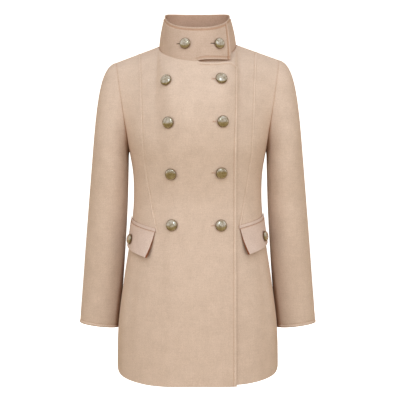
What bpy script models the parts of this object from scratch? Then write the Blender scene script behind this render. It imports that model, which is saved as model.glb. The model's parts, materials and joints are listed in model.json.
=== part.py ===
# Hollow double-breasted coat in its worn form, in metres, +Z up, front facing -Y.
# The origin lies midway between the two side neck points, where the coat is held.
# Every cloth piece is a thin closed wall taken from one torso, sleeve or collar surface.
import math

import bpy
import numpy as np

# Cloth thickness and the spaces between neighbouring pieces
WALL = 0.0025
SEAM_GAP = 0.0003
LAP_GAP = 0.0014
TRIM_GAP = 0.0006

# Body rings from hem to armpit
RING_POWER = 2.35
ARM_Z = -0.2427
BODY_COLUMNS = ("height", "half_width", "front", "back")
BODY_ROWS = (
    (-0.760, 0.1850, 0.146, 0.134),
    (-0.640, 0.1823, 0.141, 0.132),
    (-0.530, 0.1688, 0.133, 0.128),
    (-0.430, 0.1540, 0.121, 0.113),
    (-0.340, 0.1463, 0.114, 0.095),
    (-0.285, 0.1485, 0.123, 0.098),
    (ARM_Z, 0.1555, 0.133, 0.106),
)

# Hem height by turn: 0 centre front, 1 side, 2 centre back
HEM_COLUMNS = ("turn", "height")
HEM_ROWS = (
    (0.0, -0.758),
    (0.5, -0.7568),
    (0.8, -0.7470),
    (1.0, -0.7340),
    (1.4, -0.7380),
    (2.0, -0.7420),
)
LEFT_HEM_LIFT = 0.004

# Neckline, shoulder and armhole
NECK_TURN = 0.42
NECK_HALF = 0.088
NECK_Y = 0.005
NECK_FRONT = 0.103
NECK_BACK = 0.073
NECK_DROP = 0.041
NECK_RISE = 0.008
SHOULDER_TIP = (0.186, 0.004, -0.037)
CHEST_HANDLE = 0.090
FLANK_HANDLE = 0.050
FRONT_HANDLE = 0.072
BACK_HANDLE = 0.048
NECK_FRONT_LEAN = 70.0
NECK_BACK_LEAN = 72.0
NECK_SIDE_LEAN = 10.0
TIP_LEAN = 4.0
LEFT_NECK_LIFT = 0.0040
LEFT_TIP_LIFT = 0.0060
ARM_BLEND_FROM = 0.45
ARMHOLE_FRONT_LOW = (0.002, -0.085, 0.0265)
ARMHOLE_FRONT_HIGH = (-0.0015, -0.064, -0.009)
ARMHOLE_BACK_LOW = (0.002, 0.072, 0.030)
ARMHOLE_BACK_HIGH = (-0.0020, 0.058, -0.009)

# Shoulder princess seam: distance from centre front by height, then to mid shoulder
SEAM_COLUMNS = ("height", "half_width")
SEAM_ROWS = (
    (-0.421, 0.0930),
    (-0.386, 0.1015),
    (-0.352, 0.1080),
    (-0.294, 0.1170),
    (ARM_Z, 0.1237),
)
SEAM_SHOULDER = 0.137

# Front laps
OVER_EDGE = 0.0858
UNDER_EDGE = 0.055
LAP_FULL = 0.057
LAP_NONE = 0.086
LAP_TOP_Z = -0.0425
LAP_CORNER_Z = -0.0553
UNDER_TOP_DROP = 0.008

# Collar
RIM_POWER = 2.5
RIM_HALF = 0.0750
RIM_LEFT_HALF = 0.0730
RIM_FRONT = 0.083
RIM_BACK = 0.068
RIM_RISE = (0.0690, 0.267, -1.773)
COLLAR_BULGE = 0.002
COLLAR_OVER = 56.0
COLLAR_OVER_RIM = 50.0
COLLAR_UNDER = 30.0
COLLAR_FREE_Z = -0.0360
COLLAR_FREE_LIFT = 0.06
COLLAR_FREE_SPAN = 8.0

# Sleeves, in the wearer's left frame; the right one is mirrored from its own armhole
BICEP_Z = -0.270
CUFF_Z = -0.6425
SLEEVE_TILT = 0.120
SLEEVE_COLUMNS = ("height", "centre_x", "half_width", "half_depth", "centre_y")
SLEEVE_ROWS = (
    (-0.650, 0.2290, 0.0460, 0.047, 0.030),
    (-0.582, 0.2218, 0.0454, 0.049, 0.027),
    (-0.467, 0.2133, 0.0455, 0.056, 0.020),
    (-0.352, 0.2055, 0.0443, 0.062, 0.012),
    (-0.270, 0.2006, 0.0420, 0.068, 0.006),
)
CAP_TOP_LEAVE = (0.039, 0.0, -0.009)
CAP_SIDE_LEAVE = (0.022, -0.012, -0.030)
CAP_UNDER_LEAVE = (0.003, 0.0, -0.0015)
CAP_TOP_HANDLE = 0.140
CAP_SIDE_HANDLE = 0.050
CAP_UNDER_HANDLE = 0.014
MITRE_FLOOR = 0.36

# Pockets
POCKET_FRONT_Z = -0.419
POCKET_FRONT_X = 0.093
POCKET_CLIMB = 0.024
LEFT_POCKET_LIFT = 0.007
FLAP_WALL = 0.0030
FLAP_START = 0.006
FLAP_END = 0.980
FLAP_DROP = 0.0585
FLAP_FRONT_LEAN = 0.053
FLAP_BUTTON_PLACE = (0.66, 0.61)
FLAP_BACK_LEAN = 0.045
FLAP_LIFT = 0.0085
FLAP_FLARE = 0.0014
WELT_WALL = 0.0022
WELT_WIDTH = 0.0070

# Buttons: plain domes on a shank
BUTTON_SIDES = 14
FRONT_BUTTON = 0.0130
COLLAR_BUTTON = 0.0122
FLAP_BUTTON = 0.0120
BUTTON_COLUMNS = ("radius_share", "height")
BUTTON_ROWS = (
    (0.26, 0.0004),
    (0.26, 0.0022),
    (0.88, 0.0024),
    (1.00, 0.0032),
    (0.97, 0.0043),
    (0.74, 0.0066),
    (0.38, 0.0080),
)
BUTTON_TOP = 0.0084
FRONT_BUTTON_COLUMNS = ("x", "z")
FRONT_BUTTON_ROWS = (
    (-0.0677, -0.0851),
    (0.0520, -0.0820),
    (-0.0625, -0.1772),
    (0.0538, -0.1748),
    (-0.0577, -0.2896),
    (0.0517, -0.2870),
    (-0.0559, -0.4042),
    (0.0508, -0.4046),
)
COLLAR_BUTTON_ROWS = (
    (-0.0262, -0.0018),
    (0.0459, -0.0014),
)

# How finely each piece is divided
SKIRT_STEPS = 8
WAIST_STEPS = 7
CHEST_STEPS = 10
SIDE_STEPS = 4
HIP_STEPS = 6
YOKE_STEPS = 3
NECK_STEPS = 6
LAP_STEPS = 5
CAP_STEPS = 6
ARM_STEPS = 7
COLLAR_STEPS = 4
FLAP_STEPS = (9, 5)
SLEEVE_SEAMS = (9, 15)

# Colours
WOOL = (0.597, 0.462, 0.352, 1.0)
METAL = (0.46, 0.40, 0.31, 1.0)

SMALL = 1e-4
ANGLE_STEP = 0.05
BEHIND = 1e-9
SEARCH = 36
REFINE = 12


def ease(t):
    t = np.clip(t, 0.0, 1.0)
    return t * t * (3.0 - 2.0 * t)


def mix(a, b, t):
    return a + (b - a) * t


def curve(rows, column, at):
    """Smooth value of one table column between its rows."""
    keys = np.array([row[0] for row in rows])
    values = np.array([row[column] for row in rows])
    slopes = np.gradient(values, keys)
    at = np.clip(at, keys[0], keys[-1])
    i = np.clip(np.searchsorted(keys, at, side="right") - 1, 0, len(keys) - 2)
    span = keys[i + 1] - keys[i]
    t = (at - keys[i]) / span
    rise = t * t * (3.0 - 2.0 * t)
    leave = t * (1.0 - t) ** 2
    arrive = t * t * (t - 1.0)
    return mix(values[i], values[i + 1], rise) + span * (leave * slopes[i] + arrive * slopes[i + 1])


def stack(x, y, z):
    return np.stack(np.broadcast_arrays(x, y, z), axis=-1)


def unit(vectors):
    return vectors / np.maximum(np.linalg.norm(vectors, axis=-1, keepdims=True), 1e-12)


def oval(angle, half, depth, power):
    """Distance from the middle of a squared oval, angle 0 along its depth."""
    a = (np.abs(np.sin(angle)) / half) ** power
    b = (np.abs(np.cos(angle)) / depth) ** power
    return (a + b) ** (-1.0 / power)


def ring(part, back, height):
    half = curve(BODY_ROWS, 1, height)
    depth = np.where(back, curve(BODY_ROWS, 3, height), curve(BODY_ROWS, 2, height))
    angle = part * math.pi / 2.0
    reach = oval(angle, half, depth, RING_POWER)
    side = np.where(back, 1.0, -1.0)
    return stack(reach * np.sin(angle), side * reach * np.cos(angle), height)


def pocket_turn():
    low = 0.0
    high = 1.0
    for _ in range(SEARCH):
        middle = 0.5 * (low + high)
        if ring(middle, False, POCKET_FRONT_Z)[0] < POCKET_FRONT_X:
            low = middle
        else:
            high = middle
    return middle


POCKET_TURN = pocket_turn()


def pocket_height(turn):
    climb = np.clip((np.abs(turn) - POCKET_TURN) / (1.0 - POCKET_TURN), 0.0, 1.0)
    lift = LEFT_POCKET_LIFT * ease(turn / POCKET_TURN) * ease(2.0 - turn)
    return POCKET_FRONT_Z + POCKET_CLIMB * climb + lift


def row_height(turn, rise):
    """Height of a row: 0 hem, 1 pocket line, 2 armpit."""
    hem = curve(HEM_ROWS, 1, np.abs(turn))
    pocket = pocket_height(turn)
    skirt = mix(hem, pocket, np.clip(rise, 0.0, 1.0))
    waist = mix(pocket, ARM_Z, np.clip(rise - 1.0, 0.0, 1.0))
    return np.where(rise <= 1.0, skirt, waist)


def top_edge(part, back):
    """Neckline up to the side neck point, then the shoulder line out to its tip."""
    angle = np.clip(part / NECK_TURN, 0.0, 1.0) * math.pi / 2.0
    depth = np.where(back, NECK_BACK, -NECK_FRONT)
    height = np.where(back, NECK_RISE, -NECK_DROP)
    neck = stack(NECK_HALF * np.sin(angle), NECK_Y + depth * np.cos(angle), height * np.cos(angle))
    out = np.clip((part - NECK_TURN) / (1.0 - NECK_TURN), 0.0, 1.0)[..., None]
    side = np.array((NECK_HALF, NECK_Y, 0.0))
    return np.where(out > 0.0, mix(side, np.array(SHOULDER_TIP), out), neck)


def cubic(start, leave, arrive, end, climb):
    t = climb[..., None]
    s = 1.0 - t
    return s**3 * start + 3.0 * s * s * t * leave + 3.0 * s * t * t * arrive + t**3 * end


def chest(part, back, climb):
    """Plain curve of each turn from the armpit ring to the top edge."""
    base = ring(part, back, np.full_like(part, ARM_Z))
    below = ring(part, back, np.full_like(part, ARM_Z - SMALL))
    top = top_edge(part, back)
    face = np.where(back, -1.0, 1.0)
    lean = np.where(back, NECK_BACK_LEAN, NECK_FRONT_LEAN)
    lean = mix(lean, NECK_SIDE_LEAN, ease(part / NECK_TURN))
    lean = mix(lean, TIP_LEAN, ease((part - NECK_TURN) / (1.0 - NECK_TURN)))
    lean = np.radians(lean)
    arrive = stack(np.zeros_like(part), face * np.cos(lean), np.sin(lean))
    handle = mix(CHEST_HANDLE, FLANK_HANDLE, ease(part))[..., None]
    low = base + handle * (base - below) / SMALL
    drop = np.where(back, BACK_HANDLE, FRONT_HANDLE)[..., None]
    return cubic(base, low, top - drop * arrive, top, climb)


def armhole_curve(back, climb):
    base = np.array((BODY_ROWS[-1][1], 0.0, ARM_Z))
    top = np.array(SHOULDER_TIP)
    seat = back[..., None]
    low = base + np.where(seat, np.array(ARMHOLE_BACK_LOW), np.array(ARMHOLE_FRONT_LOW))
    high = top + np.where(seat, np.array(ARMHOLE_BACK_HIGH), np.array(ARMHOLE_FRONT_HIGH))
    return cubic(base, low, high, top, climb)


def upper(part, back, climb):
    """Chest and back above the armpit, drawn towards the armhole near the side."""
    reach = np.clip((part - ARM_BLEND_FROM) / (1.0 - ARM_BLEND_FROM), 0.0, 1.0)[..., None] ** 2
    miss = armhole_curve(back, climb) - chest(np.ones_like(part), back, climb)
    return chest(part, back, climb) + reach * miss


def shoulder_lift(part):
    """How much higher the left neckline and shoulder line lie than the right ones."""
    neck = LEFT_NECK_LIFT * np.sin(np.clip(part / NECK_TURN, 0.0, 1.0) * math.pi / 2.0) ** 2
    out = np.clip((part - NECK_TURN) / (1.0 - NECK_TURN), 0.0, 1.0)
    return neck + (LEFT_TIP_LIFT - LEFT_NECK_LIFT) * out


def torso(turn, rise):
    """Outer cloth surface. turn: 0 front, 1 left side, -1 right side, 2 back. rise: 0 hem to 3 top."""
    turn, rise = np.broadcast_arrays(np.asarray(turn, float), np.asarray(rise, float))
    part = np.abs(turn)
    back = part > 1.0
    part = np.where(back, 2.0 - part, part)
    lower = ring(part, back, row_height(turn, np.minimum(rise, 2.0)))
    climb = np.clip(rise - 2.0, 0.0, 1.0)
    points = np.where(rise[..., None] <= 2.0, lower, upper(part, back, climb))
    points[..., 2] += np.where(turn > 0.0, shoulder_lift(part) * ease(climb), 0.0)
    return points * stack(np.where(turn < 0.0, -1.0, 1.0), np.ones_like(turn), np.ones_like(turn))


def torso_normal(turn, rise):
    turn, rise = np.broadcast_arrays(np.asarray(turn, float), np.asarray(rise, float))
    side = np.where(turn < 0.0, -1.0, 1.0)
    part = np.abs(turn)
    back = part > 1.0
    low = np.where(back, 1.0 + BEHIND, -1.0)
    high = np.where(back, 2.0 - BEHIND, 1.0)
    first = np.clip(part - SMALL, low, high) * side
    last = np.clip(part + SMALL, low, high) * side
    across = (torso(last, rise) - torso(first, rise)) * side[..., None]
    along = torso(turn, np.minimum(rise + SMALL, 3.0)) - torso(turn, np.maximum(rise - SMALL, 0.0))
    return unit(np.cross(across, along))


def mitre(first, second):
    """Direction in which two walls that meet at a seam share their thickness."""
    both = 1.0 + np.sum(first * second, axis=-1, keepdims=True)
    return (first + second) / np.maximum(both, MITRE_FLOOR)


def turn_at(rise, x):
    """Turn on the front half at which a row reaches a distance from centre front."""
    rise, x = np.broadcast_arrays(np.asarray(rise, float), np.asarray(x, float))
    low = np.full(rise.shape, -1.0)
    high = np.full(rise.shape, 1.0)
    for _ in range(SEARCH):
        middle = 0.5 * (low + high)
        short = torso(middle, rise)[..., 0] < x
        low = np.where(short, middle, low)
        high = np.where(short, high, middle)
    return middle


def seen_at(surface, first, second, top, x, z):
    """Both parameters of the surface point that is seen from the front at x and z."""
    x, z, first, second = np.broadcast_arrays(x, z, np.asarray(first, float), np.asarray(second, float))
    for _ in range(REFINE):
        here = surface(first, second)
        by_first = (surface(first + SMALL, second) - here) / SMALL
        by_second = (surface(first, second - SMALL) - here) / -SMALL
        miss_x = x - here[..., 0]
        miss_z = z - here[..., 2]
        area = by_first[..., 0] * by_second[..., 2] - by_first[..., 2] * by_second[..., 0]
        first = first + (miss_x * by_second[..., 2] - miss_z * by_second[..., 0]) / area
        second = second + (miss_z * by_first[..., 0] - miss_x * by_first[..., 2]) / area
        second = np.clip(second, SMALL, top)
    return first, second


def front_at(x, z):
    """Turn and rise of the point on the front that is seen at x and z."""
    x = np.asarray(x, float)
    z = np.asarray(z, float)
    turn = x / BODY_ROWS[0][1]
    rise = np.interp(z, (HEM_ROWS[0][1], POCKET_FRONT_Z, ARM_Z, -NECK_DROP), (0.0, 1.0, 2.0, 3.0))
    return seen_at(torso, turn, rise, 3.0, x, z)


def seam_turn(rise, side):
    """Turn of the princess seam on one row."""
    height = row_height(side * POCKET_TURN, np.clip(rise, 1.0, 2.0))
    x = curve(SEAM_ROWS, 1, height)
    x = np.where(rise > 2.0, mix(SEAM_ROWS[-1][1], SEAM_SHOULDER, rise - 2.0), x)
    x = np.where(rise <= 1.0, POCKET_FRONT_X, x)
    found = turn_at(np.maximum(rise, 1.0), side * x)
    return np.where(rise <= 1.0, side * POCKET_TURN, found)


def lap_level(x):
    """How far the over front stands off the under front."""
    return (WALL + LAP_GAP) * (1.0 - ease((-x - LAP_FULL) / (LAP_NONE - LAP_FULL)))


def shoulder_direction(part, side):
    front = torso_normal(side * part, np.full_like(part, 3.0))
    back = torso_normal(side * (2.0 - part), np.full_like(part, 3.0))
    return unit(front + back)


def collar_low(angle):
    """Sewn neckline, then the free lower edge of the over end beyond 360 degrees."""
    bend = np.radians(angle)
    front = np.cos(bend) > 0.0
    y = NECK_Y - np.where(front, NECK_FRONT, NECK_BACK) * np.cos(bend)
    z = np.where(front, -NECK_DROP, -NECK_RISE) * np.cos(bend)
    z = z + LEFT_NECK_LIFT * np.clip(np.sin(bend), 0.0, 1.0) ** 2
    sewn = stack(NECK_HALF * np.sin(bend), y, z)
    past = np.clip((angle - 360.0) / COLLAR_OVER, 0.0, 1.0)
    if not np.any(past > 0.0):
        return sewn
    x = NECK_HALF * np.sin(np.radians(np.clip(angle - 360.0, 0.0, COLLAR_OVER)))
    turn, rise = front_at(x, mix(-NECK_DROP, COLLAR_FREE_Z, past))
    return np.where(past[..., None] > 0.0, torso(turn, rise), sewn)


def collar_rim(angle):
    past = np.clip(angle - 360.0, 0.0, COLLAR_OVER)
    bend = np.radians(np.where(angle > 360.0, past * COLLAR_OVER_RIM / COLLAR_OVER, angle))
    depth = np.where(np.cos(bend) > 0.0, RIM_FRONT, RIM_BACK)
    half = np.where(np.sin(bend) > 0.0, RIM_LEFT_HALF, RIM_HALF)
    reach = oval(bend, half, depth, RIM_POWER)
    y = -reach * np.cos(bend)
    return stack(reach * np.sin(bend), y, RIM_RISE[0] + RIM_RISE[1] * y + RIM_RISE[2] * y * y)


def collar(angle, climb):
    angle, climb = np.broadcast_arrays(np.asarray(angle, float), np.asarray(climb, float))
    t = climb[..., None]
    bulge = COLLAR_BULGE * 4.0 * climb * (1.0 - climb)
    out = stack(np.sin(np.radians(angle)), -np.cos(np.radians(angle)), np.zeros_like(angle))
    return mix(collar_low(angle), collar_rim(angle), t) + bulge[..., None] * out


def collar_normal(angle, climb):
    along = collar(angle + ANGLE_STEP, climb) - collar(angle - ANGLE_STEP, climb)
    up = collar(angle, np.minimum(climb + SMALL, 1.0)) - collar(angle, np.maximum(climb - SMALL, 0.0))
    return unit(np.cross(along, up))


def neck_direction(angle):
    """Shared thickness direction of body and collar along the sewn neckline."""
    bend = np.mod(angle, 360.0)
    side = np.where(bend > 180.0, -1.0, 1.0)
    quarter = np.where(bend > 180.0, 360.0 - bend, bend)
    back = quarter > 90.0
    part = np.where(back, 180.0 - quarter, quarter) / 90.0 * NECK_TURN
    turn = side * np.where(back, 2.0 - part, part)
    body = torso_normal(turn, np.full_like(turn, 3.0 - SMALL))
    edge = np.full_like(turn, NECK_TURN + 2.0 * SMALL)
    beside = shoulder_direction(edge, side)
    body = np.where(np.abs(quarter - 90.0)[..., None] < 1.0, beside, body)
    return mitre(body, collar_normal(bend, np.zeros_like(bend)))


def arm_ring(bend, height):
    x = curve(SLEEVE_ROWS, 1, height)
    wide = curve(SLEEVE_ROWS, 2, height) * np.cos(bend)
    deep = curve(SLEEVE_ROWS, 3, height) * np.sin(bend)
    return stack(x + wide, curve(SLEEVE_ROWS, 4, height) - deep, height + SLEEVE_TILT * wide)


def armhole(around):
    """Armhole loop: 0 shoulder tip, half way at the underarm, over the front first."""
    front = around <= CHEST_STEPS
    climb = np.where(front, CHEST_STEPS - around, around - CHEST_STEPS) / CHEST_STEPS
    return np.where(front, 1.0, 1.0 + BEHIND), 2.0 + climb


def cap_leave(around):
    bend = around * math.pi / CHEST_STEPS
    over = np.clip(np.cos(bend), 0.0, 1.0)[..., None] ** 2
    under = np.clip(-np.cos(bend), 0.0, 1.0)[..., None] ** 2
    beside = np.sin(bend)[..., None] ** 2
    facing = stack(np.ones_like(bend), np.sign(np.sin(bend)), np.ones_like(bend))
    side = np.array(CAP_SIDE_LEAVE) * facing
    return over * np.array(CAP_TOP_LEAVE) + under * np.array(CAP_UNDER_LEAVE) + beside * side


def sleeve(around, along, hand):
    """Sleeve of one hand, drawn on the left. along: 0 armhole, 1 upper arm, 2 cuff."""
    around, along = np.broadcast_arrays(np.asarray(around, float), np.asarray(along, float))
    loop = np.mod(around, 2.0 * CHEST_STEPS)
    bend = loop * math.pi / CHEST_STEPS
    turn, rise = armhole(loop)
    start = torso(hand * turn, rise) * np.array((hand, 1.0, 1.0))
    end = arm_ring(bend, np.full_like(bend, BICEP_Z))
    below = arm_ring(bend, np.full_like(bend, BICEP_Z - SMALL))
    over = np.clip(np.cos(bend), 0.0, 1.0) ** 2
    under = np.clip(-np.cos(bend), 0.0, 1.0) ** 2
    reach = over * CAP_TOP_HANDLE + under * CAP_UNDER_HANDLE + np.sin(bend) ** 2 * CAP_SIDE_HANDLE
    high = start + cap_leave(loop)
    low = end + reach[..., None] * (end - below) / SMALL
    cap = cubic(start, high, low, end, np.clip(along, 0.0, 1.0))
    arm = arm_ring(bend, mix(BICEP_Z, CUFF_Z, np.clip(along - 1.0, 0.0, 1.0)))
    return np.where(along[..., None] <= 1.0, cap, arm)


def sleeve_normal(around, along, hand):
    across = sleeve(around + SMALL, along, hand) - sleeve(around - SMALL, along, hand)
    lower = sleeve(around, np.minimum(along + SMALL, 2.0), hand)
    down = lower - sleeve(around, np.maximum(along - SMALL, 0.0), hand)
    return unit(np.cross(across, down))


def armhole_direction(around, hand):
    """Shared thickness direction of body and sleeve along the armhole, drawn on the left."""
    around = np.asarray(around, float)
    loop = np.mod(around, 2.0 * CHEST_STEPS)
    turn, rise = armhole(loop)
    body = torso_normal(hand * turn, rise)
    tip = np.minimum(loop, 2.0 * CHEST_STEPS - loop) < SMALL
    beside = shoulder_direction(np.full_like(loop, 1.0 - BEHIND), hand)
    body = np.where(tip[..., None], beside, body)
    pit = np.abs(loop - CHEST_STEPS) < SMALL
    flank = torso_normal(np.full_like(loop, hand), np.full_like(loop, 2.0 - 2.0 * SMALL))
    body = np.where(pit[..., None], flank, body) * np.array((hand, 1.0, 1.0))
    return mitre(body, sleeve_normal(loop, np.zeros_like(loop), hand))


def pulled(points, first, then, half=SEAM_GAP / 2.0):
    """Shift that draws an edge of a piece back from its seam."""
    return half * unit(points[then] - points[first])


def material(name, colour, rough, metal):
    made = bpy.data.materials.new(name)
    made.use_nodes = True
    shader = made.node_tree.nodes["Principled BSDF"]
    shader.inputs["Base Color"].default_value = colour
    shader.inputs["Roughness"].default_value = rough
    shader.inputs["Metallic"].default_value = metal
    return made


def add_object(name, points, faces, colour, rough, metal):
    mesh = bpy.data.meshes.new(name)
    mesh.from_pydata([tuple(map(float, p)) for p in points], [], faces)
    mesh.update()
    mesh.materials.append(material(name + "_material", colour, rough, metal))
    made = bpy.data.objects.new(name, mesh)
    bpy.context.collection.objects.link(made)


def add_shell(name, outer, inner, kept=None, colour=WOOL, rough=0.9):
    """Closed wall between two matching grids; kept marks the cells that are cloth."""
    rows, columns = outer.shape[:2]
    if kept is None:
        kept = np.ones((rows - 1, columns - 1), bool)
    count = rows * columns
    faces = []
    rim = {}
    for i in range(rows - 1):
        for j in range(columns - 1):
            if not kept[i, j]:
                continue
            a = i * columns + j
            b = a + 1
            c = a + columns + 1
            d = a + columns
            faces += [(a, b, c), (a, c, d)]
            faces += [(a + count, c + count, b + count), (a + count, d + count, c + count)]
            for start, end in ((a, b), (b, c), (c, d), (d, a)):
                if (end, start) in rim:
                    del rim[(end, start)]
                else:
                    rim[(start, end)] = True
    points = np.concatenate([outer.reshape(-1, 3), inner.reshape(-1, 3)])
    for start, end in rim:
        one = np.linalg.norm(points[start] - points[end + count])
        other = np.linalg.norm(points[end] - points[start + count])
        if one < other:
            faces += [(start, start + count, end + count), (start, end + count, end)]
        else:
            faces += [(start, start + count, end), (end, start + count, end + count)]
    used = sorted({corner for face in faces for corner in face})
    place = {corner: k for k, corner in enumerate(used)}
    faces = [tuple(place[corner] for corner in face) for face in faces]
    add_object(name, points[used], faces, colour, rough, 0.0)


def body_rows():
    skirt = np.linspace(0.0, 1.0, SKIRT_STEPS + 1)
    waist = np.linspace(1.0, 2.0, WAIST_STEPS + 1)[1:]
    chest = np.linspace(2.0, 3.0, CHEST_STEPS + 1)[1:]
    return np.concatenate([skirt, waist, chest])


ROWS = body_rows()
POCKET_ROW = SKIRT_STEPS
ARM_ROW = SKIRT_STEPS + WAIST_STEPS
SHOULDER_SHARE = float(NECK_TURN / seam_turn(np.array(3.0), 1.0))


def hem_start(turn):
    """First row of the left half, whose hem hangs a little higher."""
    lift = LEFT_HEM_LIFT * np.clip(1.0 - np.abs(turn) / 2.0, 0.0, 1.0)
    return lift / (pocket_height(turn) - curve(HEM_ROWS, 1, np.abs(turn)))


def lifted(turn, rise, side):
    start = hem_start(turn) if side > 0.0 else 0.0
    return np.where(rise < 1.0, mix(start, 1.0, rise), rise)


def lap_grid(side):
    """Columns of one front beyond centre front, out to its free edge."""
    reach = OVER_EDGE if side < 0.0 else -UNDER_EDGE
    share = np.linspace(0.0, 1.0, LAP_STEPS + 1)[1:]
    x = reach * share
    if side < 0.0:
        top = mix(LAP_TOP_Z, LAP_CORNER_Z, share)
    else:
        angle = np.arcsin(np.abs(x) / NECK_HALF)
        top = -NECK_DROP * np.cos(angle) - UNDER_TOP_DROP
    stop = front_at(x, top)[1]
    rise = np.where(ROWS[:, None] > 2.0, 2.0 + (ROWS[:, None] - 2.0) * (stop - 2.0), ROWS[:, None])
    rise = rise + np.zeros_like(x)
    edge = turn_at(rise, np.full(rise.shape, reach))
    return edge * share, rise


def front_grid(side):
    """Turn and rise of every point of one front, columns in order of turn."""
    seam = seam_turn(ROWS, side)[:, None]
    hip = mix(side, seam, np.linspace(0.0, 1.0, HIP_STEPS + 1)[:-1])
    yoke = seam * np.linspace(1.0, SHOULDER_SHARE, YOKE_STEPS + 1)[:-1]
    neck = seam * np.linspace(SHOULDER_SHARE, 0.0, NECK_STEPS + 1)
    lap, lap_rise = lap_grid(side)
    turn = np.concatenate([hip, yoke, neck, lap], axis=1)
    rise = np.broadcast_to(ROWS[:, None], turn.shape).copy()
    rise[:, -LAP_STEPS:] = lap_rise
    return turn, lifted(turn, rise, side)


def add_front(name, side):
    turn, rise = front_grid(side)
    points = torso(turn, rise)
    toward = torso_normal(turn, rise)
    first_neck = HIP_STEPS + YOKE_STEPS
    last_neck = first_neck + NECK_STEPS
    part = np.abs(turn[-1])
    shoulder = slice(HIP_STEPS, first_neck)
    toward[-1, shoulder] = shoulder_direction(part[shoulder], side)
    sewn = slice(first_neck, last_neck + 1)
    angle = side * part[sewn] / NECK_TURN * 90.0
    toward[-1, sewn] = neck_direction(angle)
    shift = np.zeros_like(points)
    top = slice(HIP_STEPS, last_neck + 1)
    shift[-1, top] += pulled(points, (-1, top), (-2, top))
    flank = slice(0, POCKET_ROW + 1)
    shift[flank, 0] += pulled(points, (flank, 0), (flank, 1))
    hip = slice(0, HIP_STEPS)
    shift[POCKET_ROW, hip] += pulled(points, (POCKET_ROW, hip), (POCKET_ROW - 1, hip))
    above = slice(POCKET_ROW + 1, None)
    shift[above, HIP_STEPS] += pulled(points, (above, HIP_STEPS), (above, HIP_STEPS + 1))
    level = np.zeros(turn.shape)
    if side < 0.0:
        level = lap_level(points[..., 0])
    points = points + shift
    outer = points + level[..., None] * toward
    inner = points + (level - WALL)[..., None] * toward
    kept = np.ones((turn.shape[0] - 1, turn.shape[1] - 1), bool)
    kept[POCKET_ROW:, :HIP_STEPS] = False
    if side > 0.0:
        outer = outer[:, ::-1]
        inner = inner[:, ::-1]
        kept = kept[:, ::-1]
    add_shell(name, outer, inner, kept)


def add_side_front(name, side):
    rise = ROWS[POCKET_ROW:, None]
    seam = seam_turn(rise, side)
    turn = mix(side, seam, np.linspace(0.0, 1.0, SIDE_STEPS + 1))
    rise = np.broadcast_to(rise, turn.shape)
    points = torso(turn, rise)
    toward = torso_normal(turn, rise)
    toward[-1] = shoulder_direction(np.abs(turn[-1]), side)
    arm = slice(ARM_ROW - POCKET_ROW, None)
    around = CHEST_STEPS - np.arange(CHEST_STEPS + 1.0)
    mirror = np.array((side, 1.0, 1.0))
    toward[arm, 0] = armhole_direction(around, side) * mirror
    shift = np.zeros_like(points)
    shift[0] += pulled(points, 0, 1)
    shift[-1] += pulled(points, -1, -2)
    every = slice(None)
    shift[:, 0] += pulled(points, (every, 0), (every, 1))
    shift[:, -1] += pulled(points, (every, -1), (every, -2))
    outer = points + shift
    inner = outer - WALL * toward
    if side > 0.0:
        outer = outer[:, ::-1]
        inner = inner[:, ::-1]
    add_shell(name, outer, inner)


def add_back(name, side):
    seam = float(seam_turn(np.array(3.0), 1.0))
    arm = np.linspace(1.0 - BEHIND, seam, SIDE_STEPS + 1)[:-1]
    yoke = np.linspace(seam, NECK_TURN, YOKE_STEPS + 1)[:-1]
    neck = np.linspace(NECK_TURN, 0.0, NECK_STEPS + 1)
    part = np.concatenate([arm, yoke, neck])
    turn = np.broadcast_to(side * (2.0 - part), (len(ROWS), len(part)))
    rise = lifted(turn, np.broadcast_to(ROWS[:, None], turn.shape), side)
    points = torso(turn, rise)
    toward = torso_normal(turn, rise)
    toward[: ARM_ROW + 1, 0] = torso_normal(np.full(ARM_ROW + 1, side), rise[: ARM_ROW + 1, 0])
    toward[-1] = shoulder_direction(part, side)
    first_neck = SIDE_STEPS + YOKE_STEPS
    angle = side * (180.0 - neck / NECK_TURN * 90.0)
    toward[-1, first_neck:] = neck_direction(angle)
    around = CHEST_STEPS + np.arange(CHEST_STEPS + 1.0)
    mirror = np.array((side, 1.0, 1.0))
    toward[ARM_ROW:, 0] = armhole_direction(around, side) * mirror
    shift = np.zeros_like(points)
    every = slice(None)
    shift[-1] += pulled(points, -1, -2)
    shift[:, 0] += pulled(points, (every, 0), (every, 1))
    shift[:, -1] += np.array((side * SEAM_GAP / 2.0, 0.0, 0.0))
    outer = points + shift
    inner = outer - WALL * toward
    if side < 0.0:
        outer = outer[:, ::-1]
        inner = inner[:, ::-1]
    add_shell(name, outer, inner)


def add_sleeve(name, side, first, last):
    around = np.arange(first, last + 1.0)
    cap = np.linspace(0.0, 1.0, CAP_STEPS + 1)
    arm = np.linspace(1.0, 2.0, ARM_STEPS + 1)[1:]
    along = np.concatenate([cap, arm])
    around, along = np.meshgrid(around, along)
    points = sleeve(around, along, side)
    toward = sleeve_normal(around, along, side)
    toward[0] = armhole_direction(around[0], side)
    shift = np.zeros_like(points)
    every = slice(None)
    shift[0] += pulled(points, 0, 1)
    shift[:, 0] += pulled(points, (every, 0), (every, 1))
    shift[:, -1] += pulled(points, (every, -1), (every, -2))
    outer = points + shift
    inner = outer - WALL * toward
    if side < 0.0:
        mirror = np.array((-1.0, 1.0, 1.0))
        outer = outer[:, ::-1] * mirror
        inner = inner[:, ::-1] * mirror
    add_shell(name, outer, inner)


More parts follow.
